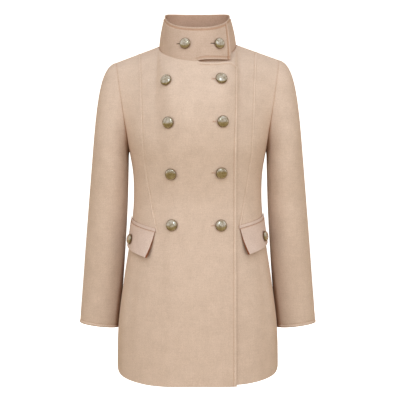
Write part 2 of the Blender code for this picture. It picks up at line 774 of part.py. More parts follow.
def add_collar(name):
    step = 90.0 / NECK_STEPS
    under = np.arange(-COLLAR_UNDER, 0.0, step)
    sewn = np.linspace(0.0, 360.0, 4 * NECK_STEPS + 1)
    over = 360.0 + np.append(np.arange(step, COLLAR_OVER, step), COLLAR_OVER)
    angle = np.concatenate([under, sewn, over])
    climb = np.linspace(0.0, 1.0, COLLAR_STEPS + 1)[:, None]
    free = COLLAR_FREE_LIFT * ease(-angle / COLLAR_FREE_SPAN)
    climb = mix(free, 1.0, climb)
    angle = np.broadcast_to(angle, climb.shape)
    points = collar(angle, climb)
    toward = collar_normal(angle, climb)
    joined = (angle[0] >= 0.0) & (angle[0] <= 360.0)
    toward[0, joined] = neck_direction(angle[0, joined])
    shift = np.zeros_like(points)
    shift[0] += np.where(joined[:, None], pulled(points, 0, 1), 0.0)
    front = (angle[0] > 270.0) & (angle[0] <= 360.0)
    level = np.where(front, lap_level(points[0, :, 0]), 0.0)
    level = np.where(angle[0] > 360.0, WALL + LAP_GAP, level)[None, :, None]
    points = points + shift
    add_shell(name, points + level * toward, points + (level - WALL) * toward)


def flap_surface(across, down, side):
    """Turn, height and lift of a pocket flap; across 0 at its front edge, down 0 at its seam."""
    start = POCKET_TURN + FLAP_START + FLAP_FRONT_LEAN * down
    end = FLAP_END - FLAP_BACK_LEAN * down
    part = mix(start, end, across)
    seam = mix(POCKET_TURN + FLAP_START, FLAP_END, across)
    height = pocket_height(side * seam) - SEAM_GAP - FLAP_DROP * down
    lift = FLAP_LIFT * down**2 * (1.0 - across) ** 2 + FLAP_FLARE * down**2
    return side * part, height, TRIM_GAP + lift


def at_height(turn, height):
    part = np.abs(turn)
    points = ring(part, np.zeros(part.shape, bool), height)
    return points * stack(np.sign(turn), np.ones_like(turn), np.ones_like(turn))


def height_normal(turn, height):
    across = at_height(turn + SMALL, height) - at_height(turn - SMALL, height)
    up = at_height(turn, height + SMALL) - at_height(turn, height - SMALL)
    return unit(np.cross(across, up))


def add_flap(name, side):
    across = np.linspace(0.0, 1.0, FLAP_STEPS[0] + 1)
    down = np.linspace(1.0, 0.0, FLAP_STEPS[1] + 1)
    across, down = np.meshgrid(across, down)
    turn, height, level = flap_surface(across, down, side)
    points = at_height(turn, height)
    toward = height_normal(turn, height)
    outer = points + (level + FLAP_WALL)[..., None] * toward
    inner = points + level[..., None] * toward
    if side < 0.0:
        outer = outer[:, ::-1]
        inner = inner[:, ::-1]
    add_shell(name, outer, inner)


def add_welt(name, side):
    across = np.linspace(0.0, 1.0, FLAP_STEPS[0] + 1)
    turn = side * mix(POCKET_TURN, FLAP_END, across)
    turn = np.stack([turn, turn])
    lift = np.array((SEAM_GAP, WELT_WIDTH))[:, None]
    height = pocket_height(turn) + lift
    points = at_height(turn, height)
    toward = height_normal(turn, height)
    outer = points + (TRIM_GAP + WELT_WALL) * toward
    inner = points + TRIM_GAP * toward
    if side < 0.0:
        outer = outer[:, ::-1]
        inner = inner[:, ::-1]
    add_shell(name, outer, inner)


def add_button(name, seat, axis, radius):
    """Turned dome button standing on a point along an axis."""
    axis = unit(np.asarray(axis, float))
    level = unit(np.cross(np.array((0.0, 0.0, 1.0)), axis))
    upright = np.cross(axis, level)
    points = []
    for share, height in BUTTON_ROWS:
        for k in range(BUTTON_SIDES):
            bend = 2.0 * math.pi * k / BUTTON_SIDES
            spoke = math.cos(bend) * level + math.sin(bend) * upright
            points.append(seat + height * axis + share * radius * spoke)
    faces = []
    for i in range(len(BUTTON_ROWS) - 1):
        for k in range(BUTTON_SIDES):
            a = i * BUTTON_SIDES + k
            b = i * BUTTON_SIDES + (k + 1) % BUTTON_SIDES
            faces += [(a, b, b + BUTTON_SIDES), (a, b + BUTTON_SIDES, a + BUTTON_SIDES)]
    bottom = len(points)
    points.append(seat + BUTTON_ROWS[0][1] * axis)
    points.append(seat + BUTTON_TOP * axis)
    high = (len(BUTTON_ROWS) - 1) * BUTTON_SIDES
    for k in range(BUTTON_SIDES):
        after = (k + 1) % BUTTON_SIDES
        faces.append((bottom, after, k))
        faces.append((bottom + 1, high + k, high + after))
    add_object(name, points, faces, METAL, 0.3, 1.0)


def add_front_buttons():
    for number, (x, z) in enumerate(FRONT_BUTTON_ROWS, 1):
        turn, rise = front_at(x, z)
        axis = torso_normal(turn, rise)
        seat = torso(turn, rise) + lap_level(np.array(x)) * axis
        add_button(f"button_front_{number}", seat, axis, FRONT_BUTTON)


def add_collar_buttons():
    for number, (x, z) in enumerate(COLLAR_BUTTON_ROWS, 1):
        guess = 360.0 + math.degrees(math.asin(x / NECK_HALF))
        angle, climb = seen_at(collar, guess, 0.5, 1.0, x, z)
        axis = collar_normal(angle, climb)
        seat = collar(angle, climb) + (WALL + LAP_GAP) * axis
        add_button(f"button_collar_{number}", seat, axis, COLLAR_BUTTON)


def add_flap_button(name, side):
    turn, height, level = flap_surface(*np.array(FLAP_BUTTON_PLACE), side)
    axis = height_normal(turn, height)
    seat = at_height(turn, height) + (level + FLAP_WALL) * axis
    add_button(name, seat, axis, FLAP_BUTTON)


for old in list(bpy.data.objects):
    bpy.data.objects.remove(old, do_unlink=True)

RIGHT = -1.0
LEFT = 1.0
add_front("front_right", RIGHT)
add_front("front_left", LEFT)
add_side_front("side_front_right", RIGHT)
add_side_front("side_front_left", LEFT)
add_back("back_right", RIGHT)
add_back("back_left", LEFT)
for word, hand in (("right", RIGHT), ("left", LEFT)):
    add_sleeve("sleeve_under_" + word, hand, SLEEVE_SEAMS[0], SLEEVE_SEAMS[1])
    add_sleeve("sleeve_top_" + word, hand, SLEEVE_SEAMS[1], SLEEVE_SEAMS[0] + 2 * CHEST_STEPS)
    add_flap("pocket_flap_" + word, hand)
    add_welt("pocket_welt_" + word, hand)
    add_flap_button("button_flap_" + word, hand)
add_collar("collar")
add_front_buttons()
add_collar_buttons()
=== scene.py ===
# %% [markdown]
# # A short double-breasted coat in felted wool
# The frame holds the coat as plain thin solids: fronts, side fronts, backs, sleeves, collar,
# pocket flaps and buttons. This lesson dresses them the way a tailor finishes a coat. Each cut
# panel is drawn again as fine cloth with rolled seams, the topstitching and buttonholes are
# sewn on, and the buttons are turned with a rim and a dome.

# %% Open the frame
import json
import math

import bpy
import numpy as np
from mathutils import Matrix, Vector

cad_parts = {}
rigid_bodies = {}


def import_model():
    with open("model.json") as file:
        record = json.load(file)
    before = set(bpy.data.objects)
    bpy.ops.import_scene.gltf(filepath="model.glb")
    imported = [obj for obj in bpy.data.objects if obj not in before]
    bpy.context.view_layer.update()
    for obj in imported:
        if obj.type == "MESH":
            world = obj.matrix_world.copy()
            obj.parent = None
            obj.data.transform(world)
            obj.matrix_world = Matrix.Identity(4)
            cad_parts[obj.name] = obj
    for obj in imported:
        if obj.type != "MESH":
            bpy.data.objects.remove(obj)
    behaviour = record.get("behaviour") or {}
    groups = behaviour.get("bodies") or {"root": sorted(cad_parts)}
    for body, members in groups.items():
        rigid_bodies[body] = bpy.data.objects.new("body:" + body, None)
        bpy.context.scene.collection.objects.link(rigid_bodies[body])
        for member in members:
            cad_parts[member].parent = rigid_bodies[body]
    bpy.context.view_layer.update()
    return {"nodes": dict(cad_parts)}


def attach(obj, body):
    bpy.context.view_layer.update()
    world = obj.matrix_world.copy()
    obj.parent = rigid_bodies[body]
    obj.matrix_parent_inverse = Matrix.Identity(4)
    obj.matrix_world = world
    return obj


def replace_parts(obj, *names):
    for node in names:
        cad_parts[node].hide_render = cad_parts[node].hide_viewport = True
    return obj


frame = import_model()
print("solids in the frame:", len(frame["nodes"]))

# %% [markdown]
# ## Pattern measures
# A pattern cutter keeps one sheet of body measures and one of collar and sleeve measures.
# Much the same measures shaped the solids, so cloth drawn from them lands within a few
# millimetres of the frame. All lengths are metres, +X is the wearer's left and the front
# faces -Y.

# %% Body measures
WALL = 0.0025
SEAM_GAP = 0.00006
LAP_GAP = 0.0014
TRIM_GAP = 0.0006
RING_POWER = 2.35
ARM_Z = -0.2427
# Columns: height, half width, depth in front, depth behind.
BODY_ROWS = (
    (-0.760, 0.1850, 0.146, 0.134),
    (-0.640, 0.1823, 0.141, 0.132),
    (-0.530, 0.1688, 0.133, 0.128),
    (-0.430, 0.1540, 0.121, 0.113),
    (-0.340, 0.1463, 0.114, 0.095),
    (-0.285, 0.1485, 0.123, 0.098),
    (ARM_Z, 0.1555, 0.133, 0.106),
)
# Columns: turn from the centre front, height.
HEM_ROWS = (
    (0.0, -0.758),
    (0.5, -0.7568),
    (0.8, -0.7447),
    (1.0, -0.7300),
    (1.4, -0.7380),
    (2.0, -0.7420),
)
LEFT_HEM_LIFT = 0.004
# Columns: height, distance from the centre.
SEAM_ROWS = (
    (-0.421, 0.0930),
    (-0.386, 0.1015),
    (-0.352, 0.1080),
    (-0.294, 0.1170),
    (ARM_Z, 0.1237),
)
SEAM_SHOULDER = 0.137
OVER_EDGE = 0.0858
UNDER_EDGE = 0.055
LAP_FULL = 0.057
LAP_NONE = 0.086
LAP_TOP_Z = -0.0425
LAP_CORNER_Z = -0.0553
UNDER_TOP_DROP = 0.008
POCKET_FRONT_Z = -0.419
POCKET_FRONT_X = 0.093
POCKET_CLIMB = 0.024
LEFT_POCKET_LIFT = 0.007
print("coat length from neck to hem:", -HEM_ROWS[0][1], "m")

# %% Neck, shoulder, armhole, collar and sleeve measures
NECK_TURN = 0.42
NECK_HALF = 0.088
NECK_Y = 0.005
NECK_FRONT = 0.103
NECK_BACK = 0.073
NECK_DROP = 0.041
NECK_RISE = 0.008
SHOULDER_TIP = (0.186, 0.004, -0.037)
CHEST_HANDLE = 0.090
FLANK_HANDLE = 0.050
FRONT_HANDLE = 0.072
BACK_HANDLE = 0.048
NECK_FRONT_LEAN = 70.0
NECK_BACK_LEAN = 72.0
NECK_SIDE_LEAN = 10.0
TIP_LEAN = 4.0
LEFT_NECK_LIFT = 0.0040
LEFT_TIP_LIFT = 0.0060
ARM_BLEND_FROM = 0.45
ARMHOLE_FRONT_LOW = (0.002, -0.085, 0.0265)
ARMHOLE_FRONT_HIGH = (-0.0015, -0.064, -0.009)
ARMHOLE_BACK_LOW = (0.002, 0.072, 0.030)
ARMHOLE_BACK_HIGH = (-0.0020, 0.058, -0.009)
RIM_POWER = 2.5
RIM_HALF = 0.0750
RIM_LEFT_HALF = 0.0730
RIM_FRONT = 0.083
RIM_BACK = 0.068
RIM_RISE = (0.0690, 0.267, -1.773)
COLLAR_BULGE = 0.002
COLLAR_OVER = 56.0
COLLAR_OVER_RIM = 50.0
COLLAR_UNDER = 30.0
COLLAR_FREE_Z = -0.0360
COLLAR_FREE_LIFT = 0.06
COLLAR_FREE_SPAN = 8.0
BICEP_Z = -0.270
CUFF_Z = -0.6425
SLEEVE_TILT = 0.120
# Columns: height, centre x, half width, half depth, centre y.
SLEEVE_ROWS = (
    (-0.650, 0.2290, 0.0460, 0.047, 0.030),
    (-0.582, 0.2227, 0.0463, 0.049, 0.027),
    (-0.467, 0.2137, 0.0459, 0.056, 0.020),
    (-0.352, 0.2055, 0.0443, 0.062, 0.012),
    (-0.270, 0.2006, 0.0420, 0.068, 0.006),
)
CAP_TOP_LEAVE = (0.039, 0.0, -0.009)
CAP_SIDE_LEAVE = (0.022, -0.012, -0.030)
CAP_UNDER_LEAVE = (0.003, 0.0, -0.0015)
CAP_TOP_HANDLE = 0.140
CAP_SIDE_HANDLE = 0.050
CAP_UNDER_HANDLE = 0.014
MITRE_FLOOR = 0.36
HALF_LOOP = 10
SLEEVE_SEAMS = (9, 15)
print("shoulder tip to shoulder tip:", 2.0 * SHOULDER_TIP[0], "m")

# %% [markdown]
# ## From measures to curves
# A pattern line is never a chain of straight cuts: the cutter lays a curved rule through the
# measured marks. `curve` is that rule. The rings of the body are squared ovals, because a
# dressed torso is flatter in front and behind than a true oval.

# %% Curved rule and body rings
SMALL = 1e-4  # step that measures a slope
ANGLE_STEP = 0.05  # the same in degrees
BEHIND = 1e-9  # just past the side seam
LEAST = 1e-12  # shortest length that is divided by
SEARCH = 36  # halvings of a search
REFINE = 20  # steps of a search in two directions
STRIDE = 0.08  # longest such step, in turn or rise
COLLAR_STRIDE = 4.0  # the same in degrees round the collar


def ease(t):
    t = np.clip(t, 0.0, 1.0)
    return t * t * (3.0 - 2.0 * t)


def mix(a, b, t):
    return a + (b - a) * t


def curve(rows, column, at):
    """Smooth value of one table column between its rows."""
    keys = np.array([row[0] for row in rows])
    values = np.array([row[column] for row in rows])
    slopes = np.gradient(values, keys)
    at = np.clip(at, keys[0], keys[-1])
    i = np.clip(np.searchsorted(keys, at, side="right") - 1, 0, len(keys) - 2)
    span = keys[i + 1] - keys[i]
    t = (at - keys[i]) / span
    rise = t * t * (3.0 - 2.0 * t)
    leave = t * (1.0 - t) ** 2
    arrive = t * t * (t - 1.0)
    return mix(values[i], values[i + 1], rise) + span * (leave * slopes[i] + arrive * slopes[i + 1])


def stack(x, y, z):
    return np.stack(np.broadcast_arrays(x, y, z), axis=-1)


def unit(vectors):
    return vectors / np.maximum(np.linalg.norm(vectors, axis=-1, keepdims=True), LEAST)


def oval(angle, half, depth, power):
    a = (np.abs(np.sin(angle)) / half) ** power
    b = (np.abs(np.cos(angle)) / depth) ** power
    return (a + b) ** (-1.0 / power)


def ring(part, back, height):
    half = curve(BODY_ROWS, 1, height)
    depth = np.where(back, curve(BODY_ROWS, 3, height), curve(BODY_ROWS, 2, height))
    angle = part * math.pi / 2.0
    reach = oval(angle, half, depth, RING_POWER)
    side = np.where(back, 1.0, -1.0)
    return stack(reach * np.sin(angle), side * reach * np.cos(angle), height)


def pocket_turn():
    low = 0.0
    high = 1.0
    for _ in range(SEARCH):
        middle = 0.5 * (low + high)
        if ring(middle, False, POCKET_FRONT_Z)[0] < POCKET_FRONT_X:
            low = middle
        else:
            high = middle
    return middle


POCKET_TURN = pocket_turn()
print("pocket starts at turn", round(POCKET_TURN, 3), "of the way from front to side")

# %% [markdown]
# ## The torso
# Below the armpit the coat is a stack of rings that swing from the hem to the slanted pocket
# line and on to the armpit. Above it, every turn is a smooth rise to the neckline or the
# shoulder line, drawn in towards the armhole at the side. One surface carries the fronts,
# side fronts and backs, so their seams always meet.

# %% Heights and top edge of the torso


def pocket_height(turn):
    climb = np.clip((np.abs(turn) - POCKET_TURN) / (1.0 - POCKET_TURN), 0.0, 1.0)
    lift = LEFT_POCKET_LIFT * ease(turn / POCKET_TURN) * ease(2.0 - turn)
    return POCKET_FRONT_Z + POCKET_CLIMB * climb + lift


def row_height(turn, rise):
    hem = curve(HEM_ROWS, 1, np.abs(turn))
    pocket = pocket_height(turn)
    skirt = mix(hem, pocket, np.clip(rise, 0.0, 1.0))
    waist = mix(pocket, ARM_Z, np.clip(rise - 1.0, 0.0, 1.0))
    return np.where(rise <= 1.0, skirt, waist)


def top_edge(part, back):
    angle = np.clip(part / NECK_TURN, 0.0, 1.0) * math.pi / 2.0
    depth = np.where(back, NECK_BACK, -NECK_FRONT)
    height = np.where(back, NECK_RISE, -NECK_DROP)
    neck = stack(NECK_HALF * np.sin(angle), NECK_Y + depth * np.cos(angle), height * np.cos(angle))
    out = np.clip((part - NECK_TURN) / (1.0 - NECK_TURN), 0.0, 1.0)[..., None]
    side = np.array((NECK_HALF, NECK_Y, 0.0))
    return np.where(out > 0.0, mix(side, np.array(SHOULDER_TIP), out), neck)


print("pocket line at the side seam:", pocket_height(np.array(-1.0)).round(3), "m")

# %% Torso surface


def cubic(start, leave, arrive, end, climb):
    t = climb[..., None]
    s = 1.0 - t
    return s**3 * start + 3.0 * s * s * t * leave + 3.0 * s * t * t * arrive + t**3 * end


def chest(part, back, climb):
    base = ring(part, back, np.full_like(part, ARM_Z))
    below = ring(part, back, np.full_like(part, ARM_Z - SMALL))
    top = top_edge(part, back)
    face = np.where(back, -1.0, 1.0)
    lean = np.where(back, NECK_BACK_LEAN, NECK_FRONT_LEAN)
    lean = mix(lean, NECK_SIDE_LEAN, ease(part / NECK_TURN))
    lean = mix(lean, TIP_LEAN, ease((part - NECK_TURN) / (1.0 - NECK_TURN)))
    lean = np.radians(lean)
    arrive = stack(np.zeros_like(part), face * np.cos(lean), np.sin(lean))
    handle = mix(CHEST_HANDLE, FLANK_HANDLE, ease(part))[..., None]
    low = base + handle * (base - below) / SMALL
    drop = np.where(back, BACK_HANDLE, FRONT_HANDLE)[..., None]
    return cubic(base, low, top - drop * arrive, top, climb)


def armhole_curve(back, climb):
    base = np.array((BODY_ROWS[-1][1], 0.0, ARM_Z))
    top = np.array(SHOULDER_TIP)
    seat = back[..., None]
    low = base + np.where(seat, np.array(ARMHOLE_BACK_LOW), np.array(ARMHOLE_FRONT_LOW))
    high = top + np.where(seat, np.array(ARMHOLE_BACK_HIGH), np.array(ARMHOLE_FRONT_HIGH))
    return cubic(base, low, high, top, climb)


def upper(part, back, climb):
    reach = np.clip((part - ARM_BLEND_FROM) / (1.0 - ARM_BLEND_FROM), 0.0, 1.0)[..., None] ** 2
    miss = armhole_curve(back, climb) - chest(np.ones_like(part), back, climb)
    return chest(part, back, climb) + reach * miss


def shoulder_lift(part):
    """How much higher the left neckline and shoulder line lie than the right ones."""
    neck = LEFT_NECK_LIFT * np.sin(np.clip(part / NECK_TURN, 0.0, 1.0) * math.pi / 2.0) ** 2
    out = np.clip((part - NECK_TURN) / (1.0 - NECK_TURN), 0.0, 1.0)
    return neck + (LEFT_TIP_LIFT - LEFT_NECK_LIFT) * out


def torso(turn, rise):
    """Cloth surface. turn: 0 front, 1 left side, -1 right side, 2 back. rise: 0 hem to 3 top."""
    turn, rise = np.broadcast_arrays(np.asarray(turn, float), np.asarray(rise, float))
    part = np.abs(turn)
    back = part > 1.0
    part = np.where(back, 2.0 - part, part)
    lower = ring(part, back, row_height(turn, np.minimum(rise, 2.0)))
    climb = np.clip(rise - 2.0, 0.0, 1.0)
    points = np.where(rise[..., None] <= 2.0, lower, upper(part, back, climb))
    points[..., 2] += np.where(turn > 0.0, shoulder_lift(part) * ease(climb), 0.0)
    return points * stack(np.where(turn < 0.0, -1.0, 1.0), np.ones_like(turn), np.ones_like(turn))


def torso_normal(turn, rise):
    turn, rise = np.broadcast_arrays(np.asarray(turn, float), np.asarray(rise, float))
    side = np.where(turn < 0.0, -1.0, 1.0)
    part = np.abs(turn)
    back = part > 1.0
    low = np.where(back, 1.0 + BEHIND, -1.0)
    high = np.where(back, 2.0 - BEHIND, 1.0)
    first = np.clip(part - SMALL, low, high) * side
    last = np.clip(part + SMALL, low, high) * side
    across = (torso(last, rise) - torso(first, rise)) * side[..., None]
    along = torso(turn, np.minimum(rise + SMALL, 3.0)) - torso(turn, np.maximum(rise - SMALL, 0.0))
    return unit(np.cross(across, along))


print("a point of the upper chest:", torso(0.3, 2.8).round(3))

# %% [markdown]
# ## Finding places on the body
# A tailor marks a button or a seam by measuring from the centre front. These helpers turn
# such a measure into a place on the torso. `mitre` shares the thickness of two walls where
# they are sewn together, as the pressed seam of a thick cloth does.

# %% Marks and shared seam directions


def mitre(first, second):
    both = 1.0 + np.sum(first * second, axis=-1, keepdims=True)
    return (first + second) / np.maximum(both, MITRE_FLOOR)


def turn_at(rise, x):
    rise, x = np.broadcast_arrays(np.asarray(rise, float), np.asarray(x, float))
    low = np.full(rise.shape, -1.0)
    high = np.full(rise.shape, 1.0)
    for _ in range(SEARCH):
        middle = 0.5 * (low + high)
        short = torso(middle, rise)[..., 0] < x
        low = np.where(short, middle, low)
        high = np.where(short, high, middle)
    return middle


def seen_at(surface, first, second, top, x, z, stride):
    """Both parameters of the surface point that is seen from the front at x and z."""
    x, z, first, second = np.broadcast_arrays(x, z, np.asarray(first, float), np.asarray(second, float))
    for _ in range(REFINE):
        here = surface(first, second)
        by_first = (surface(first + SMALL, second) - here) / SMALL
        by_second = (surface(first, second - SMALL) - here) / -SMALL
        miss_x = x - here[..., 0]
        miss_z = z - here[..., 2]
        area = by_first[..., 0] * by_second[..., 2] - by_first[..., 2] * by_second[..., 0]
        step = (miss_x * by_second[..., 2] - miss_z * by_second[..., 0]) / area
        first = first + np.clip(step, -stride, stride)
        step = (miss_z * by_first[..., 0] - miss_x * by_first[..., 2]) / area
        second = np.clip(second + np.clip(step, -STRIDE, STRIDE), SMALL, top)
    return first, second


def front_at(x, z):
    x = np.asarray(x, float)
    z = np.asarray(z, float)
    turn = x / BODY_ROWS[0][1]
    rise = np.interp(z, (HEM_ROWS[0][1], POCKET_FRONT_Z, ARM_Z, -NECK_DROP), (0.0, 1.0, 2.0, 3.0))
    return seen_at(torso, turn, rise, 3.0, x, z, STRIDE)


def seam_turn(rise, side):
    height = row_height(side * POCKET_TURN, np.clip(rise, 1.0, 2.0))
    x = curve(SEAM_ROWS, 1, height)
    x = np.where(rise > 2.0, mix(SEAM_ROWS[-1][1], SEAM_SHOULDER, rise - 2.0), x)
    x = np.where(rise <= 1.0, POCKET_FRONT_X, x)
    found = turn_at(np.maximum(rise, 1.0), side * x)
    return np.where(rise <= 1.0, side * POCKET_TURN, found)


def lap_level(x):
    return (WALL + LAP_GAP) * (1.0 - ease((-x - LAP_FULL) / (LAP_NONE - LAP_FULL)))


def shoulder_direction(part, side):
    front = torso_normal(side * part, np.full_like(part, 3.0))
    back = torso_normal(side * (2.0 - part), np.full_like(part, 3.0))
    return unit(front + back)


SHOULDER_SHARE = float(NECK_TURN / seam_turn(np.array(3.0), 1.0))
print("princess seam meets the shoulder at turn", round(NECK_TURN / SHOULDER_SHARE, 3))

# %% [markdown]
# ## The stand collar
# The collar is one strip. It starts under the right front, runs round the neck and laps over
# to a free end at the wearer's left. Its lower edge follows the neckline and its rim is a
# smaller oval that rises towards the back, so it hugs the neck.

# %% Collar surface


def collar_low(angle):
    bend = np.radians(angle)
    front = np.cos(bend) > 0.0
    y = NECK_Y - np.where(front, NECK_FRONT, NECK_BACK) * np.cos(bend)
    z = np.where(front, -NECK_DROP, -NECK_RISE) * np.cos(bend)
    z = z + LEFT_NECK_LIFT * np.clip(np.sin(bend), 0.0, 1.0) ** 2
    sewn = stack(NECK_HALF * np.sin(bend), y, z)
    past = np.clip((angle - 360.0) / COLLAR_OVER, 0.0, 1.0)
    if not np.any(past > 0.0):
        return sewn
    x = NECK_HALF * np.sin(np.radians(np.clip(angle - 360.0, 0.0, COLLAR_OVER)))
    turn, rise = front_at(x, mix(-NECK_DROP, COLLAR_FREE_Z, past))
    return np.where(past[..., None] > 0.0, torso(turn, rise), sewn)


def collar_rim(angle):
    past = np.clip(angle - 360.0, 0.0, COLLAR_OVER)
    bend = np.radians(np.where(angle > 360.0, past * COLLAR_OVER_RIM / COLLAR_OVER, angle))
    depth = np.where(np.cos(bend) > 0.0, RIM_FRONT, RIM_BACK)
    half = np.where(np.sin(bend) > 0.0, RIM_LEFT_HALF, RIM_HALF)
    reach = oval(bend, half, depth, RIM_POWER)
    y = -reach * np.cos(bend)
    return stack(reach * np.sin(bend), y, RIM_RISE[0] + RIM_RISE[1] * y + RIM_RISE[2] * y * y)


def collar(angle, climb):
    angle, climb = np.broadcast_arrays(np.asarray(angle, float), np.asarray(climb, float))
    t = climb[..., None]
    bulge = COLLAR_BULGE * 4.0 * climb * (1.0 - climb)
    out = stack(np.sin(np.radians(angle)), -np.cos(np.radians(angle)), np.zeros_like(angle))
    return mix(collar_low(angle), collar_rim(angle), t) + bulge[..., None] * out


def collar_normal(angle, climb):
    along = collar(angle + ANGLE_STEP, climb) - collar(angle - ANGLE_STEP, climb)
    up = collar(angle, np.minimum(climb + SMALL, 1.0)) - collar(angle, np.maximum(climb - SMALL, 0.0))
    return unit(np.cross(along, up))


def neck_direction(angle):
    bend = np.mod(angle, 360.0)
    side = np.where(bend > 180.0, -1.0, 1.0)
    quarter = np.where(bend > 180.0, 360.0 - bend, bend)
    back = quarter > 90.0
    part = np.where(back, 180.0 - quarter, quarter) / 90.0 * NECK_TURN
    turn = side * np.where(back, 2.0 - part, part)
    body = torso_normal(turn, np.full_like(turn, 3.0 - SMALL))
    edge = np.full_like(turn, NECK_TURN + 2.0 * SMALL)
    beside = shoulder_direction(edge, side)
    body = np.where(np.abs(quarter - 90.0)[..., None] < 1.0, beside, body)
    return mitre(body, collar_normal(bend, np.zeros_like(bend)))


print("collar stands", (collar(180.0, 1.0) - collar(180.0, 0.0)).round(3), "at the back")

# %% [markdown]
# ## The set-in sleeves
# A set-in sleeve starts on the armhole of the body, swells over the shoulder as the cap and
# then hangs as a slightly bent tube. It is cut as a wide top sleeve and a narrow under
# sleeve. Each is drawn on the left from its own armhole, and the right one is mirrored.

# %% Sleeve surface


def arm_ring(bend, height):
    x = curve(SLEEVE_ROWS, 1, height)
    wide = curve(SLEEVE_ROWS, 2, height) * np.cos(bend)
    deep = curve(SLEEVE_ROWS, 3, height) * np.sin(bend)
    return stack(x + wide, curve(SLEEVE_ROWS, 4, height) - deep, height + SLEEVE_TILT * wide)


def armhole(around):
    """Armhole loop: 0 shoulder tip, half way at the underarm, over the front first."""
    front = around <= HALF_LOOP
    climb = np.where(front, HALF_LOOP - around, around - HALF_LOOP) / HALF_LOOP
    return np.where(front, 1.0, 1.0 + BEHIND), 2.0 + climb


def cap_leave(around):
    bend = around * math.pi / HALF_LOOP
    over = np.clip(np.cos(bend), 0.0, 1.0)[..., None] ** 2
    under = np.clip(-np.cos(bend), 0.0, 1.0)[..., None] ** 2
    beside = np.sin(bend)[..., None] ** 2
    facing = stack(np.ones_like(bend), np.sign(np.sin(bend)), np.ones_like(bend))
    side = np.array(CAP_SIDE_LEAVE) * facing
    return over * np.array(CAP_TOP_LEAVE) + under * np.array(CAP_UNDER_LEAVE) + beside * side


def sleeve(around, along, hand):
    """Sleeve of one hand, drawn on the left. along: 0 armhole, 1 upper arm, 2 cuff."""
    around, along = np.broadcast_arrays(np.asarray(around, float), np.asarray(along, float))
    loop = np.mod(around, 2.0 * HALF_LOOP)
    bend = loop * math.pi / HALF_LOOP
    turn, rise = armhole(loop)
    start = torso(hand * turn, rise) * np.array((hand, 1.0, 1.0))
    end = arm_ring(bend, np.full_like(bend, BICEP_Z))
    below = arm_ring(bend, np.full_like(bend, BICEP_Z - SMALL))
    over = np.clip(np.cos(bend), 0.0, 1.0) ** 2
    under = np.clip(-np.cos(bend), 0.0, 1.0) ** 2
    reach = over * CAP_TOP_HANDLE + under * CAP_UNDER_HANDLE + np.sin(bend) ** 2 * CAP_SIDE_HANDLE
    high = start + cap_leave(loop)
    low = end + reach[..., None] * (end - below) / SMALL
    cap = cubic(start, high, low, end, np.clip(along, 0.0, 1.0))
    arm = arm_ring(bend, mix(BICEP_Z, CUFF_Z, np.clip(along - 1.0, 0.0, 1.0)))
    return np.where(along[..., None] <= 1.0, cap, arm)


def sleeve_normal(around, along, hand):
    across = sleeve(around + SMALL, along, hand) - sleeve(around - SMALL, along, hand)
    lower = sleeve(around, np.minimum(along + SMALL, 2.0), hand)
    down = lower - sleeve(around, np.maximum(along - SMALL, 0.0), hand)
    return unit(np.cross(across, down))


def armhole_direction(around, hand):
    around = np.asarray(around, float)
    loop = np.mod(around, 2.0 * HALF_LOOP)
    turn, rise = armhole(loop)
    body = torso_normal(hand * turn, rise)
    tip = np.minimum(loop, 2.0 * HALF_LOOP - loop) < SMALL
    beside = shoulder_direction(np.full_like(loop, 1.0 - BEHIND), hand)
    body = np.where(tip[..., None], beside, body)
    pit = np.abs(loop - HALF_LOOP) < SMALL
    flank = torso_normal(np.full_like(loop, hand), np.full_like(loop, 2.0 - 2.0 * SMALL))
    body = np.where(pit[..., None], flank, body) * np.array((hand, 1.0, 1.0))
    return mitre(body, sleeve_normal(loop, np.zeros_like(loop), hand))


print("outer cuff point:", sleeve(0.0, 2.0, 1.0).round(3))

# %% [markdown]
# ## Felted wool
# The cloth is a milled wool: woven, then fulled until the fibres close over the weave. It
# looks matt and softly mottled, with a short nap that catches light at the edges. Noises give
# the mix of fibres, the cloudy dyeing and the raised nap, and a little sheen stands for the
# fibre ends. Shade is painted into the colour: an occlusion node paints creases, grooves and the
# cloth under every overlap a rosy brown, and a value kept on each panel paints its raised
# margins paler, as a highlight, and its pressed lines and seam lines darker, as shade. The
# collar's wool is a little darker than the body's, and the flaps' a little paler and less yellow.

# %% Colours of the cloth and node helpers
WHITE = (1.0, 1.0, 1.0, 1.0)
WOOL_PALE = (0.760, 0.617, 0.524, 1.0)
WOOL_DEEP = (0.632, 0.491, 0.404, 1.0)
# Painted shade: the inner faces are the same wool, painted darker and rosier as the inside of the coat in
# shadow.
INSIDE_SHADE_PALE = (0.710, 0.490, 0.380, 1.0)
INSIDE_SHADE_DEEP = (0.575, 0.380, 0.282, 1.0)
THREAD_PALE = (0.800, 0.660, 0.530, 1.0)
THREAD_DEEP = (0.640, 0.500, 0.385, 1.0)
# Painted shadow: dark brown for the back and edges of the flaps, the shadow under their front edge.
FLAP_SHADOW_PALE = (0.300, 0.105, 0.050, 1.0)
FLAP_SHADOW_DEEP = (0.200, 0.065, 0.030, 1.0)
COLLAR_TINT = (0.86, 0.82, 0.80, 1.0)
FLAP_TINT = (1.04, 1.05, 1.13, 1.0)


def tinted(colour, tint):
    return tuple(part * share for part, share in zip(colour, tint))


def new_material(name):
    """Material with its nodes, its links, its shader and the place on the piece."""
    made = bpy.data.materials.new(name)
    made.use_nodes = True
    nodes, links = made.node_tree.nodes, made.node_tree.links
    place = nodes.new("ShaderNodeTexCoord").outputs["Object"]
    return made, nodes, links, nodes["Principled BSDF"], place


def noise(nodes, links, place, grain):
    """Noise of one grain, which is its scale, its detail and its roughness."""
    made = nodes.new("ShaderNodeTexNoise")
    for socket, value in zip(("Scale", "Detail", "Roughness"), grain):
        made.inputs[socket].default_value = value
    links.new(place, made.inputs["Vector"])
    return made.outputs["Fac"]


